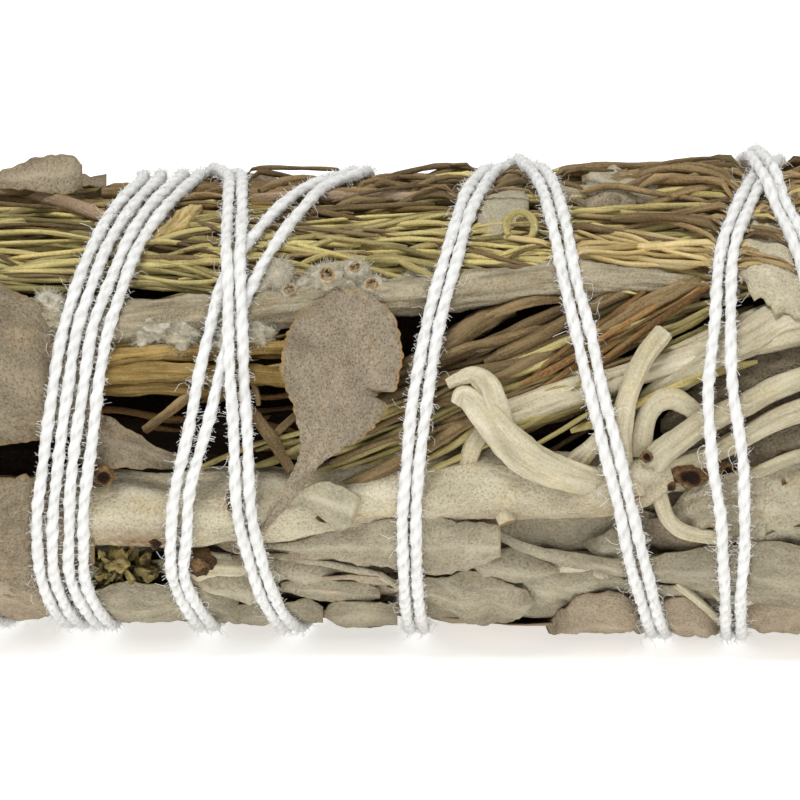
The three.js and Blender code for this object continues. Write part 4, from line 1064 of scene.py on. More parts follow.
@dataclass(frozen=True)
class FibreCoat:
    """Loose fibres on a piece, grown by Geometry Nodes and turned into a mesh. Lengths are in millimetres."""

    name: str
    density: float
    length: float
    radius: float
    bends: int
    turns: float
    seed: int

    def tree(self, material: bpy.types.Material) -> bpy.types.NodeTree:
        """The node tree: scattered curled fibres, made real and given their material.

        Args:
            material: The fibres' material.

        Returns:
            The tree.
        """
        tree = bpy.data.node_groups.new(f"{self.name}_tree", "GeometryNodeTree")
        face = tree.interface
        face.new_socket("Geometry", in_out="INPUT", socket_type="NodeSocketGeometry")
        for label, kind, value in (
            ("Fibres per Square Metre", "Float", self.density), ("Fibre Length", "Float", self.length * MM),
            ("Thickness Share", "Float", self.radius / self.length), ("Curl Turns", "Float", self.turns),
            ("Bends", "Int", self.bends), ("Seed", "Int", self.seed),
        ):
            face.new_socket(label, in_out="INPUT", socket_type=f"NodeSocket{kind}").default_value = value
        face.new_socket("Geometry", in_out="OUTPUT", socket_type="NodeSocketGeometry")
        given = add_node(tree, "NodeGroupInput").outputs
        scatter = add_node(tree, "GeometryNodeDistributePointsOnFaces", {
            "Mesh": given["Geometry"], "Density": given["Fibres per Square Metre"], "Seed": given["Seed"],
        })
        curl = add_node(tree, "GeometryNodeCurveSpiral", {
            "Resolution": given["Bends"], "Rotations": given["Curl Turns"], "Start Radius": 0.02,
            "End Radius": 0.5, "Height": 0.75,
        })
        ring = add_node(tree, "GeometryNodeCurvePrimitiveCircle", {
            "Resolution": 3, "Radius": given["Thickness Share"],
        })
        skin = add_node(tree, "GeometryNodeCurveToMesh", {
            "Curve": curl.outputs["Curve"], "Profile Curve": ring.outputs["Curve"], "Fill Caps": True,
        })
        tilt = add_node(tree, "FunctionNodeRandomValue", {
            "Min": (-1.0, -1.0, -3.2), "Max": (1.0, 1.0, 3.2), "Seed": given["Seed"],
        }, data_type="FLOAT_VECTOR")
        turned = add_node(tree, "FunctionNodeEulerToRotation", {0: tilt.outputs[0]})
        facing = add_node(tree, "FunctionNodeRotateRotation", {
            0: scatter.outputs["Rotation"], 1: turned.outputs[0],
        }, rotation_space="LOCAL")
        size = add_node(tree, "FunctionNodeRandomValue", {2: 0.35, 3: 1.0, "Seed": given["Seed"]},
                        data_type="FLOAT")
        scale = add_node(tree, "ShaderNodeMath", {0: size.outputs[1], 1: given["Fibre Length"]},
                         operation="MULTIPLY")
        placed_fibres = add_node(tree, "GeometryNodeInstanceOnPoints", {
            "Points": scatter.outputs["Points"], "Instance": skin.outputs["Mesh"],
            "Rotation": facing.outputs[0], "Scale": scale.outputs["Value"],
        })
        real = add_node(tree, "GeometryNodeRealizeInstances", {
            "Geometry": placed_fibres.outputs["Instances"],
        })
        dressed = add_node(tree, "GeometryNodeSetMaterial", {
            "Geometry": real.outputs["Geometry"], "Material": material,
        })
        add_node(tree, "NodeGroupOutput", {"Geometry": dressed.outputs["Geometry"]})
        return tree

    def grow(self, carrier: bpy.types.Object, material: bpy.types.Material, slot: Slot) -> bpy.types.Object:
        """Grows the fibres on a piece.

        Args:
            carrier: The piece.
            material: The fibres' material.
            slot: The fibres' slot; it is not used.
        """
        base = bpy.data.objects.new(f"{self.name}_base", carrier.data.copy())
        bpy.context.scene.collection.objects.link(base)
        base.modifiers.new("fibres", "NODES").node_group = self.tree(material)
        mesh = bpy.data.meshes.new_from_object(base.evaluated_get(bpy.context.evaluated_depsgraph_get()))
        coordinates = np.empty(len(mesh.vertices) * 3, dtype=np.float32)
        mesh.vertices.foreach_get("co", coordinates)
        coordinates[2::3] = np.maximum(coordinates[2::3], FIBRE_FLOOR * MM)
        mesh.vertices.foreach_set("co", coordinates)
        made = bpy.data.objects.new(self.name, mesh)
        bpy.context.scene.collection.objects.link(made)
        bpy.data.objects.remove(base)
        declare(made, slot, ())
        LOG.info("%s: %d faces", self.name, len(mesh.polygons))


@dataclass(frozen=True)
class StringWrap:
    """The wound string: two strands, the knot at the end of one, and coats of loose fibres on both."""

    strands: tuple[tuple[int, str], ...] = ((1, "string_strand_right"), (-1, "string_strand_left"))
    coats: tuple[FibreCoat, ...] = (
        FibreCoat("nap", 3.8e6, 0.62, 0.024, 2, 0.2, 7), FibreCoat("down", 3.6e6, 0.4, 0.026, 2, 0.2, 19),
        FibreCoat("curls", 4.5e5, 1.7, 0.02, 8, 0.62, 31),
    )

    def build(self, shop: Workshop) -> None:
        """Puts the string in the scene."""
        for side, name in self.strands:
            piece = Piece(name, COTTON, Slot.COTTON, ("cotton_string",)).add(shop.string.strand(side))
            if side == 1:
                piece.add(*shop.string.knot())
            made = piece.build(shop)
            for coat in self.coats:
                replace(coat, name=f"{name}_{coat.name}").grow(made, shop.of(COTTON), Slot.COTTON)


MAIN_STEM = (
    (-66.2, -8.0, 3.2, 2.6), (-50.0, -8.6, 3.1, 2.9), (-36.0, -9.0, 3.0, 3.0), (-29.0, -9.0, 3.0, 2.9),
    (-24.0, -8.6, 2.9, 3.05), (-18.0, -8.9, 3.0, 2.9), (-13.7, -8.4, 2.9, 3.0), (-8.0, -8.3, 3.0, 2.85),
    (-3.2, -7.5, 2.9, 2.9), (2.4, -7.0, 2.9, 2.95), (6.0, -6.6, 2.8, 2.9), (8.6, -6.5, 2.7, 3.0),
    (12.9, -6.8, 2.7, 2.6), (16.9, -6.9, 2.6, 2.4), (19.6, -6.2, 2.5, 2.2), (21.8, -5.6, 2.7, 1.5),
)


@dataclass(frozen=True)
class Stalk:
    """A stalk, branch or twig of the show side: stations of (along, across, depth, radius)."""

    stations: Sequence[tuple[float, float, float, float]]
    section: Section = GROOVED
    tint: float = 0.0

    def skin(self, sides: int, seed: int, step: float) -> Patch:
        """Its skin, from the points of a ring, the draw's seed and the distance between rings."""
        return stem(self.stations, sides=sides, section=self.section, seed=seed, tint=self.tint, step=step)


STALKS = (
    Stalk([(17.4, -7.1, 1.6, 0.7), (14.9, -6.5, 0.5, 1.1), (11.9, -5.5, -0.2, 1.35), (9.8, -4.3, -0.7, 1.4),
        (8.1, -2.6, -1.0, 1.3), (6.6, -0.9, -1.1, 1.1), (5.2, 0.4, -0.9, 0.8), (4.6, -0.4, -0.8, 0.55)],
        Section(0.62, 0.5, 6, 0.08, 0.08, 2.5)),
    Stalk([(8.4, -2.2, -0.6, 0.8), (7.6, -0.2, -1.0, 1.0), (7.0, 1.2, -1.1, 0.95), (5.9, 2.0, -1.0, 0.7),
        (4.8, 1.7, -0.9, 0.5), (3.8, 1.3, -0.8, 0.4)], Section(0.7, 0.3, 5, 0.1, 0.15, 2.0, 0.0,
        (0.4, 0.6))),
    Stalk([(5.2, -5.8, 1.6, 0.75), (5.8, -4.0, 1.0, 0.7), (6.6, -2.6, 1.0, 0.75), (8.2, -1.4, 1.2, 0.95),
        (12.9, 0.35, 1.3, 1.1), (17.0, 1.5, 1.4, 1.05), (20.2, 2.5, 1.5, 0.95), (25.8, 4.1, 1.4, 0.95),
        (32.3, 5.6, 1.4, 1.15), (42.0, 7.2, 1.8, 1.1), (52.0, 7.4, 2.2, 0.8)]),
    Stalk([(18.6, -4.4, 2.6, 0.9), (19.3, -1.4, 2.2, 0.9), (20.6, 0.4, 2.0, 0.95), (24.4, 2.9, 1.4, 1.05),
        (28.0, 4.9, 1.3, 1.35), (32.6, 6.9, 1.4, 1.5), (42.0, 5.4, 1.7, 1.0)], tint=-0.13),
    Stalk([(18.9, 2.6, 2.2, 0.55), (21.8, 3.6, 2.0, 0.6), (25.0, 5.1, 1.9, 0.6), (30.0, 7.4, 2.1, 0.6)]),
    Stalk([(17.9, -5.6, 1.6, 0.85), (17.8, -3.2, 0.6, 0.8), (18.1, -0.6, 0.1, 0.78), (19.0, 2.0, 0.0, 0.76),
        (20.0, 3.9, 0.1, 0.76), (21.3, 5.5, 0.4, 0.72)], Section(0.85, 0.3, 8, 0.09, 0.08, 2.0, 0.0,
        (0, 0.35))),
    Stalk([(14.2, -5.0, 1.9, 0.9), (15.6, -3.6, 1.2, 0.6), (16.6, -2.2, 1.1, 0.55),
        (17.0, -0.6, 1.4, 0.5)]),
    Stalk([(19.8, -5.7, 2.0, 1.3), (21.2, -4.2, 1.2, 1.05), (24.4, -1.95, 0.9, 0.95),
        (27.7, -0.4, 0.9, 0.9), (32.3, 1.7, 1.0, 0.9), (40.0, 3.4, 1.6, 0.8)], tint=-0.13),
    Stalk([(20.2, -6.0, 2.3, 1.1), (24.2, -4.7, 2.0, 0.8), (27.3, -3.2, 1.3, 0.8), (32.3, -0.8, 1.1, 0.85),
        (40.0, 1.0, 1.5, 0.7), (50.0, 1.6, 2.0, 0.6)], tint=-0.13),
    Stalk([(22.0, -6.6, 2.6, 0.7), (25.0, -6.9, 2.2, 0.5), (28.1, -6.1, 1.5, 0.5), (32.3, -4.5, 1.3, 0.5),
        (38.0, -3.4, 1.6, 0.4)], tint=-0.13),
    Stalk([(20.6, -6.6, 2.0, 0.8), (21.1, -8.2, 0.9, 0.62), (21.7, -9.7, 0.5, 0.6),
        (23.1, -10.7, 0.4, 0.62), (25.5, -11.1, 0.6, 0.6), (27.6, -11.2, 1.2, 0.45)],
        Section(0.6, 0.55, 5, 0.09, 0.08, 2.0)),
    Stalk([(19.3, -4.4, 1.8, 0.9), (19.6, -2.2, 1.0, 0.8), (20.4, -0.5, 0.9, 0.75), (21.8, 0.1, 0.9, 0.8),
        (23.3, -0.5, 1.2, 0.7), (24.3, -1.6, 1.6, 0.6)], Section(0.6, 0.4, 5, 0.1, 0.1, 2.0), -0.12),
    Stalk([(8.2, -7.9, 1.6, 0.95), (8.4, -9.0, 0.7, 0.8), (8.7, -9.9, 0.1, 0.72)], Section(1.0, 0.0, 5,
        0.08, 0.1, 2.0, 0.0, (0, 0.85))),
    Stalk([(18.4, -6.4, 1.4, 0.8), (18.9, -7.2, 0.4, 0.62), (19.2, -7.9, 0.0, 0.58)], Section(1.0, 0.0, 5,
        0.08, 0.1, 2.0, 0.0, (0, 0.85))),
    Stalk([(-11.0, -13.0, 1.9, 0.7), (-12.8, -13.2, 1.2, 0.85), (-14.8, -13.2, 0.9, 0.95),
        (-16.2, -13.2, 0.9, 1.15), (-17.1, -13.2, 1.2, 0.8)], Section(1.0, 0.0, 6, 0.12, 0.16, 2.0, 0.0,
        (0, 0.5))),
)
SCAR_PROFILE = [
    (1.25, -0.7, 0.0), (1.1, 0.05, 0.0), (0.92, 0.3, 0.1), (0.7, 0.22, 0.8), (0.5, 0.0, 1.0),
    (0.15, -0.1, 1.0),
]
CUT_PROFILE = [
    (1.2, -0.9, 0.3), (1.15, 0.1, 0.6), (1.0, 0.35, 0.9), (0.82, 0.3, 0.6), (0.66, 0.1, 0.2),
    (0.4, 0.22, 0.0), (0.12, 0.26, 0.0),
]
BUMP_PROFILE = [(1.1, -0.6, 0.0), (1.0, 0.15, 0.15), (0.8, 0.45, 0.5), (0.5, 0.6, 0.9), (0.15, 0.62, 1.0)]


@dataclass(frozen=True)
class Mark:
    """A scar or bump: where it is, how large, and which profile it has."""

    along: float
    across: float
    depth: float
    size: float
    profile: Sequence[tuple[float, float, float]]
    longer: float = 1.0


STEM_MARKS = (
    Mark(-23.9, -6.2, 0.3, 0.66, SCAR_PROFILE), Mark(-19.7, -11.3, 0.5, 0.7, BUMP_PROFILE, 0.8),
    Mark(-16.4, -13.2, -0.1, 1.05, CUT_PROFILE), Mark(-13.4, -8.2, 0.0, 0.8, BUMP_PROFILE, 0.7),
    Mark(19.9, -4.6, 0.4, 0.38, SCAR_PROFILE), Mark(-6.0, -9.6, 0.1, 0.35, BUMP_PROFILE, 2.0),
    Mark(21.8, -7.0, 1.2, 0.4, BUMP_PROFILE), Mark(23.4, -6.2, 1.5, 0.75, SCAR_PROFILE, 1.5),
    Mark(26.4, -5.8, 1.4, 0.6, SCAR_PROFILE), Mark(31.0, -7.0, 0.9, 0.45, SCAR_PROFILE, 0.6),
)


def sized(profile: Sequence[tuple[float, float, float]], size: float) -> list[tuple[float, float, float]]:
    """A profile at another size."""
    return [(radius * size, height * size, rim) for radius, height, rim in profile]


@dataclass(frozen=True)
class Stain:
    """A brown patch on the thick stem."""

    along: float
    across: float
    size: float
    strength: float


STEM_STAINS = (
    Stain(-22.5, -11.0, 1.5, 0.5), Stain(-20.0, -11.3, 1.4, 0.6), Stain(-24.0, -6.2, 1.0, 0.5),
    Stain(-13.4, -8.2, 0.8, 0.5), Stain(-3.5, -10.0, 1.2, 0.25), Stain(5.5, -9.4, 1.3, 0.3),
    Stain(9.0, -9.2, 1.2, 0.4), Stain(14.5, -9.2, 1.6, 0.3), Stain(19.0, -7.4, 0.9, 0.4),
)


@dataclass(frozen=True)
class MainStem:
    """The thick felted stem of the show side, its stalks, scars and stains, with how finely they are made."""

    trunk_line: Sequence[tuple[float, float, float, float]] = MAIN_STEM
    stalks: Sequence[Stalk] = STALKS
    marks: Sequence[Mark] = STEM_MARKS
    stains: Sequence[Stain] = STEM_STAINS
    trunk_sides: int = 72
    trunk_step: float = 0.35
    stalk_sides: int = 30
    stalk_step: float = 0.25

    def trunk(self) -> Patch:
        """The thick stem itself, brown where it is stained."""
        section = Section(lump=0.06, lump_size=4.0, cut=(0.5, 0.2))
        made = stem(self.trunk_line, sides=self.trunk_sides, section=section, seed=4, step=self.trunk_step)
        ragged = 1 + 0.5 * lumps(made.vertices, 0.6, 77)
        for stain in self.stains:
            middle = seen(np.array(stain.along), np.array(stain.across), np.array(0.6))
            apart = np.linalg.norm((made.vertices - middle) * [0.6, 1, 1], axis=1)
            spot = stain.strength * ragged * np.exp(-((apart / stain.size) ** 2))
            made.rim = np.clip(made.rim + spot, 0, 1)
        return made

    def build(self, shop: Workshop) -> None:
        """Puts the stem in the scene."""
        node = ("sage_stem_main",)
        Piece("main_sage_stem", FELT_STEM, Slot.STEM, node).add(self.trunk()).build(shop)
        stalks = Piece("main_stem_stalks", STALK, Slot.STEM, node)
        for index, one in enumerate(self.stalks):
            stalks.add(one.skin(self.stalk_sides, 20 + index, self.stalk_step))
        stalks.build(shop)
        marks = Piece("main_stem_scars", SCAR, Slot.STEM, node)
        for index, mark in enumerate(self.marks):
            marks.add(boss(mark.along, mark.across, mark.depth, sized(mark.profile, mark.size),
                           seed=60 + index, lump=0.22, squash=mark.longer))
        marks.build(shop)


GALL_TWIG = (
    (-58.0, 4.4, 2.2, 1.1), (-42.0, 4.8, 1.9, 1.4), (-27.4, 5.7, 1.4, 1.6), (-20.0, 6.5, 1.2, 1.55),
    (-16.1, 6.8, 1.15, 1.5), (-10.0, 7.4, 1.0, 1.55), (-4.8, 8.1, 1.0, 1.45), (1.0, 8.4, 1.0, 1.45),
    (6.0, 8.9, 1.0, 1.45), (12.9, 9.7, 1.0, 1.4), (18.0, 9.6, 1.3, 1.3), (24.0, 9.4, 1.8, 1.1),
    (31.0, 9.8, 2.4, 0.9),
)
GALLS = (
    (-9.9, 9.9, 0.4, 1.3, 0.0), (-5.9, 9.4, 0.3, 1.5, 0.42), (-3.6, 10.1, 0.2, 1.15, 0.34),
    (-2.2, 8.9, 0.2, 1.0, 0.36), (-8.9, 8.5, 0.3, 0.85, 0.34), (-11.4, 9.0, 0.8, 1.1, 0.0),
    (-4.3, 8.9, 0.5, 1.0, 0.0), (-7.5, 9.0, 0.7, 1.0, 0.0),
)
WOOL_PATCHES = (
    (-19.4, 6.1, 0.5, 1.5, 1.15), (-17.6, 5.4, 0.5, 1.3, 1.1), (-20.6, 5.2, 0.9, 0.9, 0.8),
    (-11.6, 5.4, 0.7, 1.2, 0.95), (-12.6, 6.8, 0.5, 1.0, 0.9), (-28.2, 7.6, 0.6, 1.3, 1.1),
    (1.6, 10.0, 0.7, 1.2, 0.8), (-14.6, 4.6, 0.9, 0.9, 0.8), (-4.4, 11.3, 1.1, 0.7, 0.6),
)


@dataclass(frozen=True)
class GallTwig:
    """The grey twig with its woolly galls.

    It holds the twig's line, the galls as (along, across, depth, radius, hole) and the patches of wool.
    """

    line: Sequence[tuple[float, float, float, float]] = GALL_TWIG
    galls: Sequence[tuple[float, float, float, float, float]] = GALLS
    wool_patches: Sequence[tuple[float, float, float, float, float]] = WOOL_PATCHES
    coats: tuple[FibreCoat, ...] = (
        FibreCoat("gall_wool_short", 4e7, 0.42, 0.02, 2, 0.35, 5),
        FibreCoat("gall_wool_long", 2.6e7, 0.8, 0.02, 3, 0.5, 6),
    )
    sides: int = 44
    step: float = 0.3

    def gall(self, index: int) -> tuple[Patch, list[Patch]]:
        """One gall.

        Args:
            index: Which one.

        Returns:
            Its woolly ball, and the torn rim of its hole, if it has one.
        """
        along, across, depth, radius, hole = self.galls[index]
        leans = np.radians((-60, -30, 0, 25, 50))
        ball = [(radius * math.cos(lean), radius * math.sin(lean), 0) for lean in leans]
        rims = []
        if hole:
            ball += [(hole * 1.35, radius * 0.88, 0), (hole * 1.1, radius * 0.4, 0)]
            # The inner rows and the end face take the rim colour: painted shade down inside the hole.
            rim = [(hole * 1.3, radius * 0.6, 0), (hole * 1.42, radius * 0.9, 0),
                   (hole * 1.2, radius * 0.98, 0.1), (hole, radius * 0.9, 0.5),
                   (hole * 0.85, radius * 0.5, 1), (hole * 0.2, radius * 0.2, 1)]
            rims.append(boss(along, across, depth, rim, seed=70 + index, lump=0.1))
        else:
            ball += [(radius * 0.2, radius, 0.1)]
        return boss(along, across, depth, ball, seed=80 + index, lump=0.1), rims

    def build(self, shop: Workshop) -> None:
        """Puts the twig in the scene."""
        node = ("gall_twig",)
        bark = stem(self.line, sides=self.sides, section=BARK, seed=31, step=self.step)
        Piece("gall_twig_bark", GREY_TWIG, Slot.TWIG, node).add(bark).build(shop)
        wool = Piece("gall_twig_wool", WOOL, Slot.TWIG, node)
        rims = Piece("gall_rims", GALL_RIM, Slot.TWIG, node)
        for index in range(len(self.galls)):
            ball, rim = self.gall(index)
            wool.add(ball)
            rims.add(*rim)
        for index, (along, across, depth, wide, high) in enumerate(self.wool_patches):
            profile = [(high, -0.9, 0), (high, -0.1, 0), (high * 0.86, 0.3, 0), (high * 0.5, 0.5, 0),
                       (high * 0.15, 0.55, 0)]
            wool.add(boss(along, across, depth, profile, seed=90 + index, lump=0.28, squash=wide / high))
        rims.build(shop)
        made = wool.build(shop)
        for coat in self.coats:
            coat.grow(made, shop.of(WOOL), Slot.TWIG)


FAN_EDGE_LEFT = [
    (-11.3, -10.6, 0.0), (-10.6, -9.4, -0.3), (-9.2, -6.7, -0.5), (-8.2, -4.8, -0.6), (-8.0, -3.0, -0.7),
    (-8.6, -0.5, -0.8), (-9.4, 1.8, -0.8), (-9.4, 4.0, -0.8), (-9.0, 5.3, -0.7), (-8.0, 7.0, -0.7),
    (-6.9, 7.9, -0.6), (-5.3, 8.6, -0.6),
]
FAN_EDGE_RIGHT = [
    (-10.9, -10.7, 0.0), (-9.7, -9.3, -0.3), (-7.9, -7.2, -0.5), (-6.5, -5.2, -0.6), (-4.9, -4.0, -0.6),
    (-2.7, -2.7, -0.6), (-1.1, -0.7, -0.6), (-0.3, 1.1, -0.5), (0.1, 3.5, -0.5), (-0.3, 6.0, -0.6),
    (-1.2, 7.5, -0.6), (-2.8, 8.6, -0.6),
]


@dataclass(frozen=True)
class ShowLeaf:
    """A leaf of the show side: stations of (along, low edge, high edge, low depth, high depth).

    The node is the solid that it stands for, if the part has one.
    """

    name: str
    stations: Sequence[tuple[float, float, float, float, float]]
    finish: Finish
    node: str
    form: LeafForm = LeafForm()
    tint: float = 0.0
    slot: Slot = Slot.LEAF


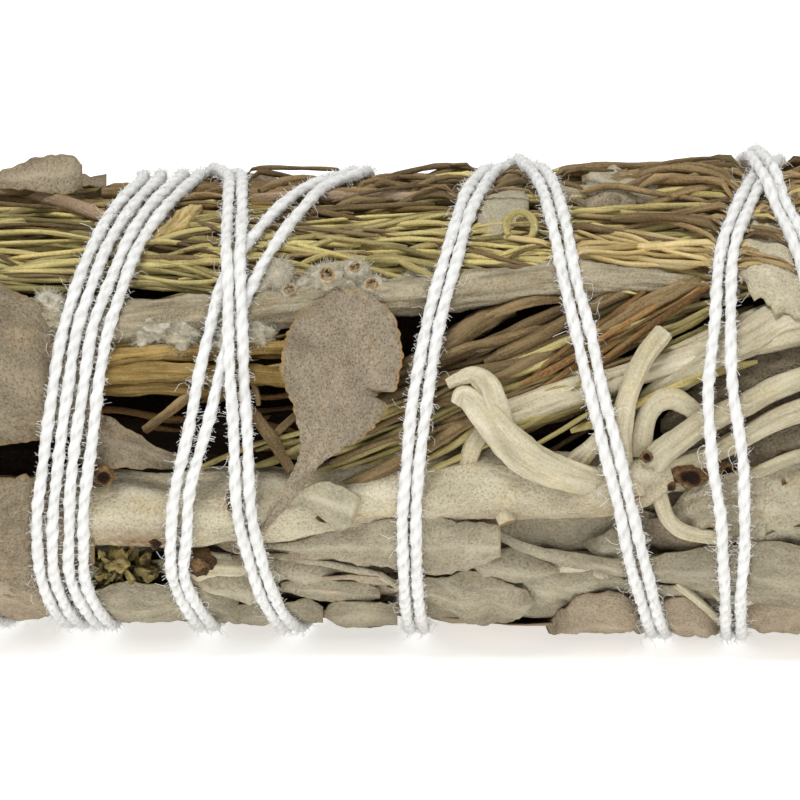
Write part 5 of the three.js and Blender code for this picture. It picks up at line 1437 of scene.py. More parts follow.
SHOW_LEAVES = (
    ShowLeaf("spear_leaf", [(-10.6, -12.0, -11.7, 0.9, 0.9), (-8.5, -12.2, -11.4, 0.6, 0.6),
        (-5.5, -12.7, -10.6, 0.4, 0.4), (-2.5, -13.2, -9.9, 0.3, 0.3), (0.5, -13.6, -9.4, 0.3, 0.3),
        (3.5, -13.9, -9.6, 0.3, 0.3), (6.0, -13.3, -9.9, 0.3, 0.4), (8.1, -12.6, -10.2, 0.3, 0.4)],
        FELT_LEAF, "leaf_spear", LeafForm(torn=0.14, camber=0.1, crinkle=0.25, crinkle_size=3.0,
        fold=0.45)),
    ShowLeaf("oval_leaf", [(-9.9, -12.9, -12.6, 1.1, 1.1), (-6.0, -13.5, -13.0, 0.8, 0.8),
        (-2.0, -14.5, -13.8, 0.7, 0.7), (0.8, -15.7, -14.4, 0.6, 0.6), (3.6, -17.1, -14.2, 0.4, 0.5),
        (6.2, -17.9, -13.9, 0.3, 0.4), (8.6, -17.7, -14.6, 0.3, 0.4), (10.1, -17.1, -15.4, 0.3, 0.5),
        (10.7, -16.6, -16.2, 0.4, 0.5)], FELT_LEAF, "leaf_oval", LeafForm(camber=0.3, crinkle=0.3,
        crinkle_size=3.5, fold=0.3), 0.03),
    ShowLeaf("ribbed_leaf", [(7.6, -11.2, -10.4, 0.6, 0.6), (10.1, -12.3, -11.5, 0.4, 0.4),
        (12.9, -13.1, -12.1, 0.3, 0.3), (16.5, -13.9, -12.6, 0.2, 0.2), (19.4, -14.4, -12.9, 0.2, 0.2),
        (23.5, -15.1, -12.3, 0.2, 0.2), (28.0, -16.2, -11.5, 0.3, 0.3), (32.3, -16.6, -11.7, 0.3, 0.3),
        (38.0, -15.8, -11.6, 0.5, 0.5), (44.0, -13.6, -12.6, 0.9, 0.9)], FELT_LEAF, "leaf_ribbed",
        LeafForm(camber=0.2, fold=0.5, crinkle=0.3), -0.18),
    ShowLeaf("pale_leaf_under", [(8.4, -14.4, -13.0, 1.8, 1.9), (11.0, -16.4, -13.6, 1.4, 1.6),
        (14.5, -17.2, -13.8, 1.2, 1.5), (18.0, -16.8, -14.3, 1.2, 1.5), (22.0, -16.4, -15.4, 1.4, 1.6)],
        PALE_LEAF, "leaf_pale_under", LeafForm(camber=0.4, veins=0.16, vein_gap=1.5, crinkle=0.35), -0.06),
    ShowLeaf("folded_leaf", [(11.0, -18.4, -18.0, 0.8, 0.8), (12.4, -18.7, -17.3, 0.4, 0.6),
        (14.4, -18.8, -16.0, 0.3, 0.5), (16.6, -18.8, -15.6, 0.3, 0.6), (18.4, -18.7, -15.8, 0.3, 0.8),
        (19.8, -18.4, -17.0, 0.6, 1.0)], PINK_LEAF, "leaf_folded", LeafForm(camber=0.4, crinkle=0.2,
        crinkle_size=4.0, fold=0.7, teeth=0.02, veins=0.12), 0.0),
    ShowLeaf("folded_leaf_right", [(18.6, -18.6, -17.8, 0.8, 0.8), (20.2, -18.9, -16.6, 0.4, 0.5),
        (22.4, -19.0, -15.8, 0.3, 0.5), (24.4, -19.0, -16.6, 0.3, 0.6), (26.2, -18.8, -18.2, 0.7, 0.8)],
        PINK_LEAF, "leaf_folded", LeafForm(camber=0.4, crinkle=0.2, crinkle_size=4.0, fold=0.6, teeth=0.02,
        veins=0.12), 0.1),
    ShowLeaf("low_leaf_right", [(24.0, -19.2, -17.0, 1.2, 1.2), (28.0, -18.6, -16.2, 0.7, 0.9),
        (33.0, -18.6, -16.0, 0.6, 0.8), (38.0, -18.2, -16.6, 0.8, 0.8)], PINK_LEAF, "leaf_folded",
        LeafForm(camber=0.5, crinkle=0.5), 0.0),
    ShowLeaf("grey_leaf_left", [(-38.0, -15.6, -10.0, 0.5, 0.5), (-34.0, -16.2, -7.0, 0.1, 0.2),
        (-31.5, -16.0, -6.2, 0.0, 0.1), (-29.4, -15.2, -6.4, 0.1, 0.1), (-27.2, -14.2, -8.4, 0.2, 0.2),
        (-24.6, -13.2, -10.4, 0.5, 0.5)], BROWN_LEAF, "leaf_grey_left", LeafForm(camber=0.6, crinkle=0.4,
        torn=0.2), 0.06),
    ShowLeaf("broad_leaf_left", [(-42.0, 0.0, 4.0, 0.9, 0.9), (-38.0, -2.6, 9.4, 0.2, 0.5),
        (-34.0, -3.6, 10.2, -0.1, 0.3), (-31.0, -3.5, 8.9, -0.1, 0.2), (-28.6, -3.2, 7.2, -0.1, 0.2),
        (-26.6, -2.8, 5.2, 0.0, 0.2), (-25.0, -2.0, 2.4, 0.3, 0.4), (-24.0, -1.0, 0.6, 0.6, 0.6)],
        BROWN_LEAF, "leaf_broad_left", LeafForm(camber=0.8, crinkle=0.5), 0.0, slot=Slot.BROWN_LEAF),
    ShowLeaf("tucked_leaf", [(-26.4, -4.8, -0.2, 1.4, 1.2), (-23.5, -5.2, -1.4, 1.1, 0.8),
        (-21.0, -5.4, -2.8, 1.1, 0.7), (-18.8, -5.5, -4.0, 1.2, 0.9), (-16.6, -5.4, -4.6, 1.6, 1.5)],
        BROWN_LEAF, "leaf_tucked", LeafForm(camber=-0.2, curl=0.3, crinkle=0.3, torn=0.15), -0.1,
        slot=Slot.BROWN_LEAF),
    ShowLeaf("low_leaf_left", [(-25.4, -17.9, -15.4, 0.6, 0.6), (-22.5, -17.9, -15.1, 0.2, 0.2),
        (-18.5, -17.8, -14.9, 0.2, 0.2), (-15.6, -17.8, -15.2, 0.3, 0.3), (-13.0, -17.6, -16.3, 0.6, 0.6)],
        FELT_LEAF, "leaf_low_left", LeafForm(camber=0.5, crinkle=0.3), -0.06),
    ShowLeaf("low_leaf_far_left", [(-36.0, -17.8, -14.6, 0.6, 0.6), (-32.5, -17.7, -14.2, 0.1, 0.1),
        (-29.8, -17.6, -14.8, 0.1, 0.1), (-26.5, -17.4, -16.0, 0.5, 0.5)], PINK_LEAF, "leaf_low_left",
        LeafForm(camber=0.4, crinkle=0.3), 0.0),
    ShowLeaf("low_leaf_middle", [(-15.6, -18.0, -16.8, 0.7, 0.7), (-12.0, -18.0, -16.4, 0.4, 0.4),
        (-8.5, -18.1, -16.0, 0.4, 0.4), (-6.2, -18.1, -16.6, 0.6, 0.6)], FELT_LEAF, "leaf_low_left",
        LeafForm(camber=0.5, crinkle=0.3), -0.12),
    ShowLeaf("leaf_scrap_low", [(-6.2, -17.4, -17.0, 0.5, 0.5), (-5.0, -18.0, -16.4, 0.2, 0.2),
        (-2.6, -18.4, -16.2, 0.1, 0.1), (-0.2, -18.4, -16.6, 0.3, 0.3)], FELT_LEAF, "leaf_low_left",
        LeafForm(torn=0.25), 0.0),
    ShowLeaf("small_leaf_low", [(-9.6, -15.4, -14.6, 0.9, 0.9), (-7.0, -16.0, -14.4, 0.7, 0.7),
        (-4.0, -16.2, -14.6, 0.7, 0.7), (-1.6, -16.0, -15.2, 0.9, 0.9)], FELT_LEAF, "leaf_oval",
        LeafForm(torn=0.2), -0.16),
    ShowLeaf("torn_leaf_right", [(26.4, 12.4, 13.4, 1.0, 1.0), (27.6, 9.4, 13.9, 0.5, 0.6),
        (29.0, 8.0, 14.2, 0.2, 0.4), (31.0, 7.0, 14.4, 0.1, 0.3), (34.5, 6.6, 13.8, 0.2, 0.4),
        (38.5, 8.2, 12.4, 0.6, 0.7)], PALE_LEAF, "leaf_torn_right", LeafForm(torn=0.3, camber=0.5,
        crinkle=0.3), 0.4),
    ShowLeaf("leaf_scrap_top", [(5.9, 15.4, 17.2, 0.6, 0.6), (6.6, 13.4, 17.6, 0.2, 0.3),
        (8.2, 13.3, 17.6, 0.1, 0.2), (9.6, 14.2, 17.3, 0.1, 0.3), (10.4, 15.2, 16.2, 0.4, 0.4)], PALE_LEAF,
        "leaf_scrap_top", LeafForm(torn=0.12, midrib=0.0, veins=0.03), 0.02),
    ShowLeaf("pale_leaf_right", [(21.6, -9.8, -9.2, 2.2, 2.2), (23.0, -11.2, -7.4, 1.7, 1.9),
        (25.0, -11.6, -6.4, 1.2, 1.4), (28.0, -11.7, -5.6, 1.0, 1.3), (32.0, -11.6, -5.0, 1.0, 1.3),
        (37.0, -11.0, -5.0, 1.2, 1.4), (42.0, -9.0, -6.4, 1.6, 1.6)], FELT_LEAF, "leaf_ribbed",
        LeafForm(camber=0.3, crinkle=0.55), 0.12),
    ShowLeaf("leaf_behind_rods", [(21.0, -2.6, -1.6, 3.0, 3.0), (24.0, -5.0, 1.4, 2.6, 2.6),
        (27.0, -5.4, 3.4, 2.2, 2.4), (31.0, -4.6, 5.0, 2.0, 2.4), (37.0, -3.0, 5.4, 2.4, 2.6)], BROWN_LEAF,
        "leaf_torn_right", LeafForm(camber=0.3, crinkle=0.5), -0.6, slot=Slot.BROWN_LEAF),
    ShowLeaf("crest_leaf_left", [(-36.0, 17.0, 18.4, -0.1, -1.4), (-31.0, 16.9, 18.8, -0.5, -1.9),
        (-28.4, 16.9, 19.3, -0.6, -2.4), (-26.6, 17.0, 19.6, -0.6, -2.6), (-25.6, 17.0, 18.8, -0.2, -1.9)],
        BROWN_LEAF, "", LeafForm(camber=0.2, crinkle=0.35), 0.1),
    ShowLeaf("crest_leaf_right", [(15.0, 16.6, 18.0, 0.5, 0.6), (18.0, 16.6, 18.4, 0.2, 0.3),
        (22.0, 16.5, 18.5, 0.2, 0.3), (25.0, 16.6, 18.2, 0.5, 0.5)], PALE_LEAF, "", LeafForm(camber=0.3,
        crinkle=0.4), 0.05),
)
SHRED = (
    [(-9.4, -8.2, 0.3), (-7.4, -6.9, 0.0), (-5.5, -6.6, -0.2), (-3.1, -7.9, -0.1)],
    [(-9.3, -8.5, 0.3), (-7.3, -8.6, 0.0), (-5.2, -10.0, -0.1), (-3.8, -9.8, -0.1)],
)


@dataclass(frozen=True)
class ShownLeaves:
    """The leaves that the photograph shows one by one: the fan leaf, the small curled one and the others."""

    leaves: Sequence[ShowLeaf] = SHOW_LEAVES
    fan: LeafForm = LeafForm(
        teeth=0.16, tooth_size=0.8, crinkle=0.3, crinkle_size=3.5, camber=0.25, midrib=0.05, veins=0.03,
        columns=44, row_step=0.2, rim_from=0.5, torn=0.08, notch=(0.66, 0.42, 1.7),
    )
    shred: LeafForm = LeafForm(torn=0.06, camber=0.2, curl=0.3)

    def build(self, shop: Workshop) -> None:
        """Puts the leaves in the scene."""
        Piece("fan_leaf", FAN_LEAF, Slot.BROWN_LEAF, ("leaf_fan",)).add(
            leaf(FAN_EDGE_LEFT, FAN_EDGE_RIGHT, form=self.fan, seed=3, tint=-0.08)
        ).build(shop)
        Piece("shred_leaf", PALE_LEAF, Slot.LEAF, ("leaf_shred",)).add(
            leaf(*SHRED, form=self.shred, seed=8, tint=0.04)
        ).build(shop)
        for index, one in enumerate(self.leaves):
            Piece(one.name, one.finish, one.slot, (one.node,) if one.node else ()).add(
                leaf(*edges(one.stations), form=one.form, seed=40 + index, tint=one.tint)
            ).build(shop)


STRAW_RODS = (
    Stalk([(-52.0, 0.6, 2.0, 0.5), (-30.0, 2.6, 1.6, 0.6), (-23.4, 3.5, 1.2, 0.6), (-16.0, 4.0, 1.1, 0.55),
        (-9.0, 4.2, 1.2, 0.55), (-2.0, 3.8, 1.8, 0.5)], FIBROUS, 0.2),
    Stalk([(-48.0, -1.0, 2.2, 0.6), (-28.0, 1.4, 1.7, 0.7), (-23.4, 2.2, 1.3, 0.75), (-16.0, 2.2, 1.2, 0.72),
        (-9.0, 1.9, 1.3, 0.7), (-1.0, 1.0, 2.2, 0.5)], FIBROUS, -0.1),
    Stalk([(-30.0, 0.6, 2.0, 0.4), (-23.0, 0.9, 1.6, 0.5), (-17.0, 0.9, 1.7, 0.45), (-12.0, 0.4, 2.2, 0.35)],
        FIBROUS, -0.3),
)
RUST_TWIGS = (
    Stalk([(-20.6, -2.4, 2.4, 0.35), (-18.4, -0.8, 1.6, 0.38), (-16.6, 0.8, 1.6, 0.35)], FINE, 0.1),
    Stalk([(-12.4, -0.4, 2.0, 0.4), (-10.6, -2.8, 1.6, 0.45), (-8.8, -5.6, 1.4, 0.4)], FINE, 0.0),
    Stalk([(-12.0, 1.6, 1.6, 0.2), (-11.6, 0.6, 1.4, 0.25), (-11.4, -0.4, 1.7, 0.2)], FINE, -0.1),
    Stalk([(-9.9, -2.6, 2.2, 0.3), (-8.6, -1.4, 1.9, 0.32), (-7.6, -0.8, 2.2, 0.25)], FINE, -0.05),
    Stalk([(0.4, 2.4, 2.6, 0.7), (3.3, 4.0, 2.0, 0.9), (6.0, 6.0, 1.8, 0.9), (9.0, 7.6, 2.2, 0.7)], FIBROUS,
        -0.25),
    Stalk([(6.4, 6.4, 1.5, 0.35), (8.6, 7.4, 1.1, 0.42), (11.0, 8.0, 1.0, 0.42), (13.6, 8.2, 1.4, 0.35)],
        FINE, 0.12),
    Stalk([(14.8, 8.8, 1.2, 0.25), (17.2, 9.4, 0.8, 0.32), (18.4, 10.6, 0.6, 0.22)], FINE, 0.25),
    Stalk([(12.0, 3.4, 2.0, 0.5), (15.6, 5.0, 1.4, 0.75), (19.0, 7.0, 1.2, 0.8), (22.6, 8.8, 1.2, 0.75),
        (26.0, 10.4, 1.8, 0.5)], FIBROUS, 0.1),
    Stalk([(-12.5, 16.4, 0.7, 0.5), (-8.0, 16.7, 0.4, 0.55), (-3.0, 16.6, 0.3, 0.5), (1.0, 16.4, 0.5, 0.4)],
        FIBROUS, 0.0),
    Stalk([(-24.0, 16.6, 0.6, 0.4), (-19.0, 16.9, 0.3, 0.5), (-12.0, 17.0, 0.3, 0.5),
        (-6.0, 17.2, 0.5, 0.4)], FIBROUS, -0.15),
)
TOP_RODS = (
    Stalk([(-50.0, 16.4, 1.2, 0.5), (-38.0, 17.0, 0.8, 0.6), (-32.3, 17.0, 0.3, 0.6),
        (-28.0, 16.2, 0.3, 0.6), (-24.4, 14.9, 0.5, 0.55), (-21.0, 13.6, 1.4, 0.4)], BARK, 0.0),
    Stalk([(-16.0, 15.8, 1.2, 0.4), (-10.0, 16.3, 0.5, 0.5), (-3.0, 16.5, 0.4, 0.55), (5.6, 16.1, 0.5, 0.5),
        (9.0, 15.6, 1.0, 0.4)], BARK, 0.0),
)
GREY_RODS = (
    Stalk([(8.6, 16.9, 0.9, 0.5), (11.8, 16.9, 0.5, 0.65), (16.0, 16.6, 0.4, 0.65), (20.6, 15.9, 0.5, 0.6),
        (25.0, 15.4, 0.9, 0.45)], BARK, 0.1),
)
KNOBBY_SECTION = Section(ridges=3, ridge=0.1, lump=0.32, lump_size=0.9, knots=0.35, cut=(0.3, 0.3))
KNOBBY = (
    Stalk([(-22.6, 10.8, 1.4, 0.35), (-20.6, 12.4, 0.7, 0.4), (-19.0, 13.6, 0.4, 0.42),
        (-17.6, 14.8, 0.4, 0.35)], KNOBBY_SECTION, -0.35),
    Stalk([(-19.4, 12.6, 0.8, 0.3), (-18.4, 13.4, 0.3, 0.5), (-17.6, 14.2, 0.1, 0.62),
        (-16.8, 15.0, 0.2, 0.55), (-16.1, 15.6, 0.5, 0.3)], KNOBBY_SECTION, -0.1),
    Stalk([(-20.8, 12.6, 0.6, 0.25), (-20.2, 13.4, 0.3, 0.3), (-19.8, 14.0, 0.5, 0.25)], KNOBBY_SECTION,
        0.2),
)


@dataclass(frozen=True)
class Spray:
    """Thin stems laid along the bunch between two angles, in clumps that lean one way, some of them forked.

    The slope is how many degrees a clump may turn round the bunch in 10 mm.
    """

    seed: int
    degrees: tuple[float, float]
    x: tuple[float, float]
    depth: tuple[float, float]
    radius: tuple[float, float]
    count: int
    reach: tuple[float, float]
    slope: float
    section: Section = FINE
    clump: int = 6
    forked: float = 0.6
    ring_step: float = 0.9
    tints: tuple[float, float] = (-0.8, 0.6)

    def stems(self) -> list[Patch]:
        """Grows the stems.

        Returns:
            Their skins.
        """
        draw = Draw(self.seed)
        made = []
        lean = 0.0
        for index in range(self.count):
            if index % self.clump == 0:
                lean = draw.value(-self.slope, self.slope)
            length = draw.value(*self.reach)
            start = draw.value(self.x[0], max(self.x[0] + 1, self.x[1] - length))
            angle = draw.value(*self.degrees)
            turn = (lean + draw.value(-0.35, 0.35) * self.slope) * length / 10
            turn = min(max(turn, self.degrees[0] - 4 - angle), self.degrees[1] + 4 - angle)
            deep = draw.value(*self.depth)
            thick = draw.value(*self.radius)
            parts = max(4, int(length / 4))
            stations = []
            for k in range(parts):
                t = k / (parts - 1)
                end = abs(2 * t - 1) ** 4
                x = start + length * t
                stations.append((x, angle + turn * t + draw.value(-1.4, 1.4),
                                 deep - crest_rise(x, angle) + draw.value(-0.25, 0.25) + 0.6 * end,
                                 thick * (1.1 - 0.4 * t)))
            tint = draw.value(*self.tints)
            seed = self.seed * 200 + index * 2
            made.append(stem(stations, sides=7, section=self.section, seed=seed, tint=tint,
                             step=self.ring_step, place=placed, closing=0.5))
            if draw.value() < self.forked:
                x, degrees, depth, radius = stations[1 + int(draw.value(0, parts - 2))]
                side = draw.value(4, 10) * (1 if draw.value() < 0.5 else -1)
                far = draw.value(5, 13)
                twiglet = [(x, degrees, depth, radius * 0.95),
                           (x + far * 0.4, degrees + side * 0.45, depth - 0.15, radius * 0.9),
                           (x + far, degrees + side * 0.8, depth + 0.1, radius * 0.65)]
                made.append(stem(twiglet, sides=7, section=self.section, seed=seed + 1, tint=tint, step=0.7,
                                 place=placed, closing=0.5))
        return made


def crest_rise(x: float, degrees: float) -> float:
    """How much higher than the skin the top of the bunch stands: it is uneven along the crest."""
    share = max(0.0, 1 - abs(degrees - 84) / 34)
    bumps = 1.3 * math.exp(-(((x + 3) / 4.5) ** 2)) + 1.5 * math.exp(-(((x - 16) / 8) ** 2))
    bumps += 0.9 * math.exp(-(((x + 21) / 4) ** 2)) + 1.0 * math.exp(-(((x + 46) / 7) ** 2))
    return share * (bumps - 0.5)


@dataclass(frozen=True)
class TopCover:
    """The thin green and brown stems that cover the top of the bunch, and the leaf scraps along its crest.

    Each row is a piece: its name, finish, slot, node and sprays.
    """

    ends: tuple[float, float] = (-70.0, 67.0)
    scrap_count: int = 34

    def rows(self) -> list[tuple[str, Finish, Slot, str, list[Spray]]]:
        """The pieces with their sprays."""
        return [
            ("green_stems_front", OLIVE, Slot.GREEN, "green_spray_front", [
                Spray(5, (47, 66), self.ends, (0.5, 2.6), (0.2, 0.36), 125, (14, 38), 9),
                Spray(25, (49, 64), (-34.0, 8.0), (0.0, 0.7), (0.22, 0.34), 40, (6, 18), 13),
            ]),
            ("moss_stems", MOSS, Slot.GREEN, "green_spray_front",
             [Spray(15, (46, 150), self.ends, (0.4, 2.0), (0.2, 0.36), 110, (10, 30), 13)]),
            ("green_stems_top", OLIVE, Slot.GREEN, "green_spray_top",
             [Spray(6, (62, 98), self.ends, (0.3, 2.2), (0.2, 0.36), 95, (14, 38), 10)]),
            ("green_stems_back", OLIVE, Slot.GREEN, "green_spray_back",
             [Spray(7, (96, 152), self.ends, (0.3, 2.0), (0.24, 0.42), 130, (20, 46), 7, ring_step=1.3)]),
            ("brown_stems_top", DRY_BROWN, Slot.TWIG, "top_twig_rosy",
             [Spray(8, (52, 150), self.ends, (0.0, 1.6), (0.2, 0.55), 84, (8, 26), 14, FIBROUS),
              Spray(38, (47, 66), self.ends, (0.0, 0.8), (0.14, 0.32), 46, (6, 20), 16, FIBROUS)]),
            ("brown_scraps_right", DRY_BROWN, Slot.TWIG, "top_twig_rosy",
             [Spray(28, (48, 92), (8.0, 30.0), (-0.5, 1.2), (0.16, 0.5), 60, (6, 17), 24, FIBROUS,
                    tints=(-0.9, 1.0))]),
            ("brown_scraps_crest", DRY_BROWN, Slot.TWIG, "top_twig_rosy",
             [Spray(29, (72, 96), (-36.0, 30.0), (-0.5, 0.8), (0.16, 0.5), 60, (4, 12), 26, FIBROUS,
                    tints=(-0.7, 0.5))]),
            ("straw_stems_top", STRAW, Slot.TWIG, "top_twig_rosy",
             [Spray(9, (50, 150), self.ends, (0.3, 1.6), (0.22, 0.42), 30, (10, 30), 10, FIBROUS)]),
        ]

    def scraps(self) -> Piece:
        """Small withered leaf scraps that stand up along the crest."""
        made = Piece("leaf_scraps_crest", BROWN_LEAF, Slot.BROWN_LEAF)
        draw = Draw(41)
        for index in range(self.scrap_count):
            x, degrees = draw.value(-60, 56), draw.value(70, 108)
            length, wide = draw.value(3, 7), draw.value(2.0, 5.0)
            depth = draw.value(-0.6, 0.5) - crest_rise(x, degrees)
            lean = draw.value(-7, 7)
            low, high = [], []
            for k in range(5):
                t = k / 4
                share = math.sin(math.pi * (0.12 + 0.76 * t)) * (1 - 0.3 * t)
                high.append((x + length * t, degrees + lean * t + wide * share, depth + 0.3 - 0.5 * t))
                low.append((x + length * t, degrees + lean * t - wide * share, depth + 0.5))
            form = LeafForm(torn=0.2, crinkle=0.5, crinkle_size=2.2, camber=draw.value(-0.4, 0.6), columns=12)
            made.add(leaf(low, high, form=form, seed=600 + index, tint=draw.value(-0.3, 0.3), place=placed))
        return made

    def build(self, shop: Workshop) -> None:
        """Puts the cover in the scene."""
        for name, finish, slot, node, sprays in self.rows():
            piece = Piece(name, finish, slot, (node,))
            for spray in sprays:
                piece.add(*spray.stems())
            piece.build(shop)
        self.scraps().build(shop)


@dataclass(frozen=True)
class Thicket:
    """Thin stems that cross a stretch of the show side.

    The rise is in millimetres for each millimetre along.
    """

    name: str
    finish: Finish
    slot: Slot
    node: str
    seed: int
    count: int
    along: tuple[float, float]
    across: tuple[float, float]
    rise: float
    depth: tuple[float, float]
    radius: tuple[float, float]
    tints: tuple[float, float] = (-0.65, 0.1)
    half: tuple[float, float] = (4.0, 9.0)

    def piece(self) -> Piece:
        """Grows the stems as one piece."""
        draw = Draw(self.seed)
        made = Piece(self.name, self.finish, self.slot, (self.node,))
        for index in range(self.count):
            middle = draw.value(*self.along)
            level = draw.value(*self.across) + (middle - sum(self.along) / 2) * self.rise * 0.6
            half = draw.value(*self.half)
            tilt = self.rise + draw.value(-0.18, 0.18)
            deep = draw.value(*self.depth)
            thick = draw.value(*self.radius)
            stations = [(middle + half * t, level + half * t * tilt + draw.value(-0.35, 0.35),
                         deep + draw.value(-0.2, 0.3) + 0.8 * abs(t) ** 3, thick * draw.value(0.8, 1.1))
                        for t in (-1.0, -0.5, 0.0, 0.5, 1.0)]
            made.add(stem(stations, sides=9, section=FIBROUS if thick > 0.4 else FINE,
                          seed=self.seed * 50 + index, tint=draw.value(*self.tints), step=0.5, closing=0.4))
        return made


THICKETS = (
    Thicket("wiry_stems_brown", DRY_BROWN, Slot.TWIG, "wiry_stems", 11, 62, (1.0, 22.0), (-2.5, 6.2), 0.42,
        (1.0, 3.8), (0.16, 0.5)),
    Thicket("wiry_stems_olive", OLIVE, Slot.GREEN, "wiry_stems", 12, 30, (1.0, 22.0), (-3.5, 5.6), 0.42,
        (0.9, 2.6), (0.2, 0.36)),
    Thicket("wiry_stems_low", OLIVE, Slot.GREEN, "wiry_stems", 13, 16, (-8.0, 4.0), (-6.0, -1.0), 0.3,
        (1.6, 2.8), (0.2, 0.34)),
    Thicket("wiry_stems_deep", RUST, Slot.TWIG, "wiry_stems", 14, 26, (-24.0, 2.0), (-4.0, 2.0), 0.05,
        (4.4, 6.2), (0.14, 0.34)),
    Thicket("yellow_fibres", PALE_STRAW, Slot.TWIG, "red_twig", 15, 30, (15.0, 26.0), (11.2, 12.9), -0.1,
        (-0.5, 0.6), (0.16, 0.38), (-0.35, 0.3)),
    Thicket("orange_fibres", RUST, Slot.TWIG, "red_twig", 16, 22, (16.0, 22.5), (5.6, 7.6), 0.6, (0.7, 1.5),
        (0.16, 0.32), (-0.5, 0.6)),
    Thicket("straw_fibres", STRAW, Slot.TWIG, "straw_rod", 18, 15, (-24.0, -9.0), (1.3, 4.6), 0.04,
        (0.7, 1.6), (0.1, 0.26), (-0.9, 0.6)),
)


@dataclass(frozen=True)
class SideTwigs:
    """The rods and twigs of the show side, one by one, and the thickets of thin stems between them."""

    sets: tuple[tuple[str, Finish, tuple[str, ...], Sequence[Stalk], int, int], ...] = (
        ("straw_rods", STRAW, ("straw_rod", "straw_rod_lower"), STRAW_RODS, 200, 20),
        ("rust_twigs", DRY_BROWN, ("red_twig",), RUST_TWIGS, 220, 16),
        ("top_rods", ROSY_TWIG, ("top_twig_rosy",), TOP_RODS, 240, 16),
        ("grey_rods", GREY_TWIG, ("top_twig_rosy",), GREY_RODS, 250, 16),
        ("knobby_twig", PALE_STRAW, ("top_twig_rosy",), KNOBBY, 260, 24),
    )
    thickets: Sequence[Thicket] = THICKETS
    ring_step: float = 0.3

    def build(self, shop: Workshop) -> None:
        """Puts the twigs in the scene."""
        for name, finish, nodes, twigs, seed, sides in self.sets:
            piece = Piece(name, finish, Slot.TWIG, nodes)
            for index, twig in enumerate(twigs):
                piece.add(twig.skin(sides, seed + index, self.ring_step))
            piece.build(shop)
        for thicket in self.thickets:
            thicket.piece().build(shop)


HIDDEN_STEMS = {
    "sage_stem_back": [
        (-72, 176, 3.2, 2.2), (-40, 172, 3.0, 2.4), (0, 178, 3.0, 2.3), (40, 184, 3.4, 1.5),
    ],
    "sage_stem_low": [
        (-74, 262, 6.6, 2.1), (-30, 258, 8.2, 2.2), (20, 262, 9.0, 1.8), (44, 266, 9.0, 1.2),
    ],
    "sage_stem_low_back": [
        (-72, 214, 6.0, 1.8), (-30, 218, 8.0, 1.9), (20, 214, 8.6, 1.5), (40, 212, 8.6, 1.1),
    ],
    "sage_stem_high_back": [
        (-74, 132, 6.4, 1.7), (-30, 136, 8.4, 1.8), (20, 130, 9.0, 1.4), (42, 128, 8.8, 1.0),
    ],
    "sage_stem_high": [
        (-70, 66, 6.2, 1.6), (-30, 70, 8.0, 1.7), (20, 66, 8.4, 1.4), (42, 64, 8.4, 1.0),
    ],
    "sage_stem_middle": [
        (-75, 20, 11.0, 2.3), (-30, 24, 13.5, 2.3), (20, 20, 14.0, 2.0), (44, 10, 13.0, 1.3),
    ],
}
LEAF_OUTLINE = (0.12, 0.4, 0.72, 0.93, 1.0, 0.95, 0.78, 0.46, 0.08)


def lance_leaf(draw: Draw, root: float, degrees: float, length: float, half_width: float, seed: int,
               depth: float, sunk: float, lean: float, tint: float) -> Patch:
    """A lance-shaped sage leaf that rises from inside the bunch.

    Args:
        draw: The draw in use.
        root: x of its stalk.
        degrees: The angle of its stalk.
        length: Its length.
        half_width: Half its width.
        seed: The seed of its surface.
        depth: How deep it lies.
        sunk: How much deeper its stalk starts.
        lean: How many degrees it turns over its length.
        tint: How it differs in colour from its finish.

    Returns:
        The skin.
    """
    low, high = [], []
    tilt = draw.value(-0.5, 0.5)
    for k, share in enumerate(LEAF_OUTLINE):
        t = k / (len(LEAF_OUTLINE) - 1)
        x = root + length * t
        drop = sunk * max(0.0, 1 - t / 0.3) ** 1.5
        degree_width = math.degrees(share * half_width / float(skin_radius(np.array(min(x, 62.0)))))
        middle = degrees + lean * t
        for side, edge in ((-1, low), (1, high)):
            edge.append((x, middle + side * degree_width, depth + drop + side * tilt * share))
    form = LeafForm(camber=draw.value(0.15, 0.6), curl=draw.value(-0.3, 0.35),
                    crinkle=draw.value(0.2, 0.45), columns=12, row_step=1.4, teeth=0.05,
                    torn=draw.value(0, 0.16), fold=draw.value(-0.5, 0.6))
    return leaf(low, high, form=form, seed=seed, tint=tint, place=placed)


PACKED_GAPS = (
    (-1.0, 11.0, -30.0, -16.0), (-33.0, -24.0, -42.0, -28.0), (-26.0, -19.0, -58.0, -48.0),
    (10.0, 18.0, -16.0, -8.0), (3.0, 17.0, -29.0, -12.0),
)


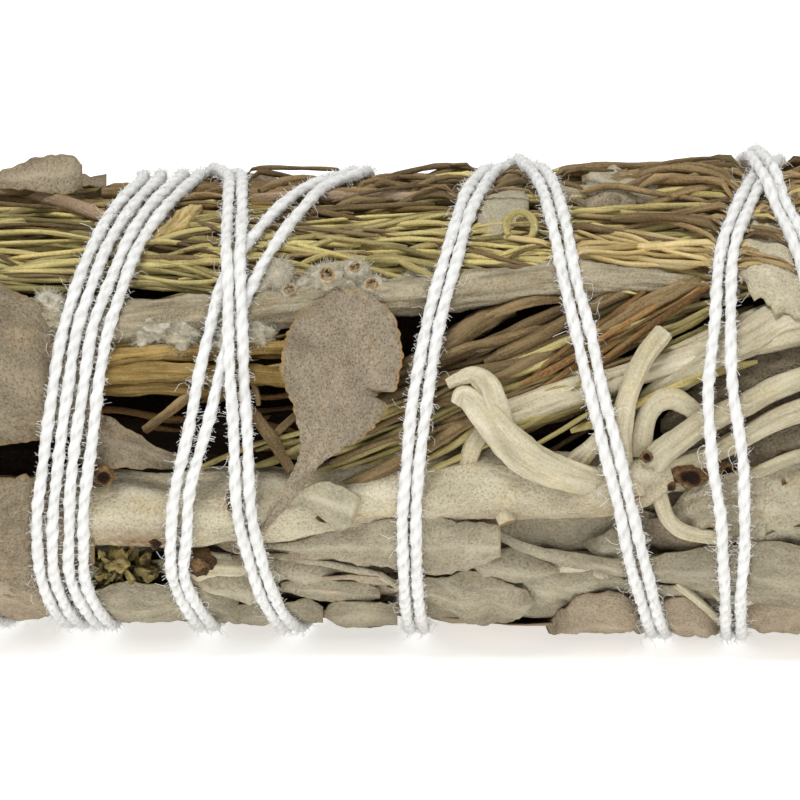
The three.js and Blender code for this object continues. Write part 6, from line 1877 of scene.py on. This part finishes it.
@dataclass(frozen=True)
class PackedLeaves:
    """The leaves that make up the rest of the bunch, its middle in painted shade, and the stems that run
    through it.

    Leaves whose middles lie in a gap (x from, to, degrees from, to) lie deeper, so that it stays dark.
    """

    finishes: tuple[Finish, ...] = (FELT_LEAF, PALE_LEAF, PINK_LEAF, BROWN_LEAF)
    shares: tuple[float, ...] = (0.4, 0.62, 0.86, 1.0)
    gaps: tuple[tuple[float, float, float, float], ...] = PACKED_GAPS
    gap_depth: float = 2.8
    middle_ends: tuple[float, float] = (-64.0, 56.0)
    middle_depth: float = 4.6
    hollow_degrees: float = 17.0

    def painted_shade_middle(self) -> Patch:
        """The middle of crumbled leaf, near black as painted shade, lower where the show side has its hollow.
        """
        x = np.linspace(*self.middle_ends, 90)
        turn = np.linspace(0, 2 * math.pi, 60, endpoint=False)
        grid_x, grid_turn = np.meshgrid(x, turn, indexing="ij")
        flow = np.stack([grid_x * 0.35, 18 * np.cos(grid_turn), 18 * np.sin(grid_turn)], axis=-1)
        depth = self.middle_depth + 0.9 * lumps(flow, 5.0, 2) + 0.5 * lumps(flow, 2.0, 3)
        hollow = np.exp(-(((np.degrees(grid_turn) - self.hollow_degrees) / 11) ** 2))
        depth += 3.2 * hollow * np.clip((grid_x + 50) / 12, 0, 1) * np.clip((34 - grid_x) / 10, 0, 1)
        low, high = self.middle_ends
        taper = np.clip(np.minimum(grid_x - low, high - grid_x) / 5, 0, 1) ** 0.5
        radius = (skin_radius(grid_x) - depth) * (0.6 + 0.4 * taper)
        rings = np.stack([grid_x, -radius * np.cos(grid_turn), AXIS_Z + radius * np.sin(grid_turn)], axis=-1)
        grain = np.stack([grid_x, grid_turn * 15, 0 * grid_x], axis=-1)
        return loft(rings[:, ::-1], grain, 0.0, 0 * grid_x, 0 * grid_x)

    def leaf_rows(self, draw: Draw) -> Iterable[tuple[float, float, float, float, float, float]]:
        """The leaves: x and degrees of the stalk, length, half width, depth and how deep it starts."""
        for row in range(13):
            degrees = -214 + row * 14.6
            shown = degrees > -62
            for column in range(7):
                root = -70 + column * 17.2 + (8.6 if row % 2 else 0) + draw.value(-3, 3)
                deep = draw.value(1.9, 3.4) if shown else draw.value(0.5, 1.6)
                yield (root, degrees + draw.value(-5, 5), draw.value(24, 34), draw.value(3.4, 5.0), deep, 3.6)
        # Each group: how many, and the limits of root, degrees, length, half width and depth.
        groups = (
            (26, (34, 46), None, (22, 32), (2.4, 4.0), (1.4, 6.5), 3.0),
            (22, (-71, -66), None, (18, 28), (2.2, 3.8), (1.0, 4.5), 2.5),
            (42, (-44, 30), (-64, -22), (9, 22), (1.4, 3.4), (1.4, 4.2), 1.5),
            (60, (-44, 30), (-62, -28), (4, 11), (0.7, 1.9), (0.8, 2.0), 0.7),
            (34, (40, 50), None, (15, 22), (1.6, 3.0), (5.5, 11.0), 1.0),
            (24, (-72, -65), None, (12, 20), (1.4, 2.6), (4.5, 10.5), 1.0),
            (7, (-70, -46), (0, 34), (14, 20), (2.4, 4.0), (1.4, 3.8), 1.5),
            (9, (26, 42), (-6, 34), (14, 24), (2.4, 4.0), (2.4, 3.8), 1.5),
            (30, (42, 54), None, (16, 22), (2.0, 3.4), (2.5, 9.0), 1.0),
            (34, (-74, -70), None, (12, 20), (2.0, 3.2), (1.5, 9.5), 0.6),
        )
        for count, roots, turns, lengths, widths, depths, sunk in groups:
            for index in range(count):
                root = draw.value(*roots)
                degrees = index * 360 / count + draw.value(-9, 9) if turns is None else draw.value(*turns)
                yield root, degrees, draw.value(*lengths), draw.value(*widths), draw.value(*depths), sunk

    def build(self, shop: Workshop) -> None:
        """Puts the leaves, the middle and the hidden stems in the scene."""
        Piece("painted_shade_middle", PAINTED_SHADE, Slot.LEAF, ("sage_leaves",)).add(self.painted_shade_middle()).build(shop)
        pieces = [Piece(f"packed_leaves_{f.name}", f, Slot.BROWN_LEAF if f is BROWN_LEAF else Slot.LEAF,
                        ("sage_leaves",)) for f in self.finishes]
        draw = Draw(17)
        for index, (root, degrees, length, half_width, depth, sunk) in enumerate(self.leaf_rows(Draw(57))):
            middle = root + length / 2
            if any(a < middle < b and c < degrees < d for a, b, c, d in self.gaps):
                depth += self.gap_depth
            pick = draw.value()
            chosen = next(i for i, share in enumerate(self.shares) if pick <= share)
            pieces[chosen].add(lance_leaf(draw, root, degrees, length, half_width, 301 + index, depth, sunk,
                                          draw.value(-8, 8), draw.value(-0.2, 0.16)))
        for piece in pieces:
            piece.build(shop)
        bark = Section(ridges=9, ridge=0.03, lump=0.06, lump_size=3.5, cut=(1, 1))
        for index, (name, stations) in enumerate(HIDDEN_STEMS.items()):
            Piece(name + "_bark", FELT_STEM, Slot.STEM, (name,)).add(
                stem(stations, sides=32, section=bark, seed=270 + index, place=placed, step=0.8)
            ).build(shop)


@dataclass(frozen=True)
class SmallThings:
    """Three small things of the show side.

    They are the green curl at the top, the withered seed head at the left and the thin pale rib at the
    lower right.
    """

    curl_at: tuple[float, float] = (9.7, 13.9)
    curl_reach: float = 1.15
    curl_radius: float = 0.36
    head_at: tuple[float, float] = (-22.5, -13.3)
    frills: int = 34
    rib: Sequence[tuple[float, float, float, float]] = (
        (22.2, -14.8, 0.6, 0.35), (23.8, -16.0, 0.2, 0.36), (25.6, -17.6, 0.2, 0.34), (26.6, -18.6, 0.5, 0.3),
    )

    def curl(self) -> Patch:
        """The green curl."""
        turn = np.linspace(math.radians(215), math.radians(-60), 40)
        ways = (np.cos(turn), np.sin(turn))
        along, across = (at + self.curl_reach * way for at, way in zip(self.curl_at, ways))
        return tube(seen(along, across, np.full(40, -0.2)), np.full(40, self.curl_radius), 14, ROUND, 71,
                    -0.1, 0.4)

    def seed_head(self) -> Piece:
        """The rough seed head, with small curled frills round it."""
        made = Piece("withered_seed_head", MOSS, Slot.LEAF)
        draw = Draw(23)
        along, across = self.head_at
        head = [(0.9, -0.9, 0), (0.95, -0.1, 0), (0.8, 0.3, 0.2), (0.5, 0.42, 0), (0.3, 0.3, 0.4),
                (0.1, 0.2, 0.8)]
        made.add(boss(along - 0.2, across + 0.2, 0.5, head, seed=431, tint=-0.05, lump=0.4))
        form = LeafForm(thickness=0.14, camber=0.4, curl=1.2, crinkle=0.35, crinkle_size=1.1, veins=0.0,
                        midrib=0.1, teeth=0.1, tooth_size=0.5, torn=0.15, columns=12, row_step=0.12)
        for index in range(self.frills):
            turn = draw.value(0, 2 * math.pi)
            root, far = draw.value(0.3, 1.4), draw.value(0.6, 1.3)
            wide = draw.value(0.14, 0.34)
            deep, rise = draw.value(0.2, 1.9), draw.value(-0.8, 0.4)
            forward = np.array([math.cos(turn) * 1.3, math.sin(turn)])
            aside = np.array([-forward[1], forward[0]])
            low, high = [], []
            for share, width in ((0.0, 0.4), (0.35, 0.9), (0.7, 1.0), (1.0, 0.5)):
                middle = np.array(self.head_at) + forward * (root + far * share)
                for side, edge in ((-1, low), (1, high)):
                    place = middle + aside * side * width * wide
                    edge.append((place[0], place[1], deep + rise * share + side * draw.value(-0.3, 0.3)))
            made.add(leaf(low, high, form=form, seed=400 + index, tint=draw.value(-0.6, 0.15)))
        return made

    def build(self, shop: Workshop) -> None:
        """Puts them in the scene."""
        Piece("green_curl", OLIVE, Slot.GREEN).add(self.curl()).build(shop)
        self.seed_head().build(shop)
        rib = stem(self.rib, sides=14, section=GROOVED, seed=430)
        Piece("pale_rib", STALK, Slot.STEM).add(rib).build(shop)


def build_table() -> None:
    """The white table that the bunch lies on."""
    far = TABLE_REACH
    mesh = bpy.data.meshes.new("table")
    mesh.from_pydata([(-far, -far, 0), (far, -far, 0), (far, far, 0), (-far, far, 0)], [], [(0, 1, 2, 3)])
    table = bpy.data.objects.new("table", mesh)
    material = bpy.data.materials.new("white_table")
    material.use_nodes = True
    shader = material.node_tree.nodes["Principled BSDF"]
    shader.inputs["Base Color"].default_value = (TABLE_WHITE, TABLE_WHITE, TABLE_WHITE, 1)
    shader.inputs["Roughness"].default_value = 1.0
    shader.inputs["Specular IOR Level"].default_value = 0.0
    shader.inputs["Emission Color"].default_value = (1, 1, 1, 1)
    shader.inputs["Emission Strength"].default_value = TABLE_GLOW
    mesh.materials.append(material)
    bpy.context.scene.collection.objects.link(table)


def add_area(name: str, at: tuple[float, float, float], size: float, power: float) -> None:
    """Adds a soft light that looks at the bunch."""
    light = bpy.data.lights.new(name, "AREA")
    light.size = size
    light.energy = power
    made = bpy.data.objects.new(name, light)
    made.location = at
    made.rotation_euler = (Vector(LIGHTS_AIM) - Vector(at)).to_track_quat("-Z", "Y").to_euler()
    bpy.context.scene.collection.objects.link(made)


def build_lights() -> None:
    """Bright soft light all round, strongest from above and in front."""
    world = bpy.data.worlds.new("white_room")
    world.use_nodes = True
    background = world.node_tree.nodes["Background"]
    background.inputs["Color"].default_value = (1, 1, 1, 1)
    background.inputs["Strength"].default_value = ROOM_LIGHT
    bpy.context.scene.world = world
    for name, at, size, power in LIGHTS:
        add_area(name, at, size, power)


def build_camera() -> None:
    """The camera, square on to the bunch and a little above it."""
    camera = bpy.data.cameras.new("camera")
    camera.sensor_width = SENSOR
    camera.lens = SENSOR * EYE_DISTANCE / SEEN_WIDTH
    made = bpy.data.objects.new("camera", camera)
    target = Vector((SEEN_MIDDLE_X, 0, AXIS_Z)) * MM
    away = Vector((0, -math.cos(EYE_ELEVATION), math.sin(EYE_ELEVATION)))
    made.location = target + away * EYE_DISTANCE * MM
    made.rotation_euler = (-away).to_track_quat("-Z", "Y").to_euler()
    bpy.context.scene.collection.objects.link(made)
    bpy.context.scene.camera = made
    bpy.context.scene.view_settings.view_transform = "Standard"


def main() -> None:
    """Builds the whole scene."""
    logging.basicConfig(level=logging.INFO, format="%(name)s %(message)s")
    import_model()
    build_camera()
    build_lights()
    build_table()
    shop = Workshop(DoubledString())
    StringWrap().build(shop)
    MainStem().build(shop)
    GallTwig().build(shop)
    ShownLeaves().build(shop)
    TopCover().build(shop)
    SideTwigs().build(shop)
    PackedLeaves().build(shop)
    SmallThings().build(shop)


if __name__ == "__main__":
    main()
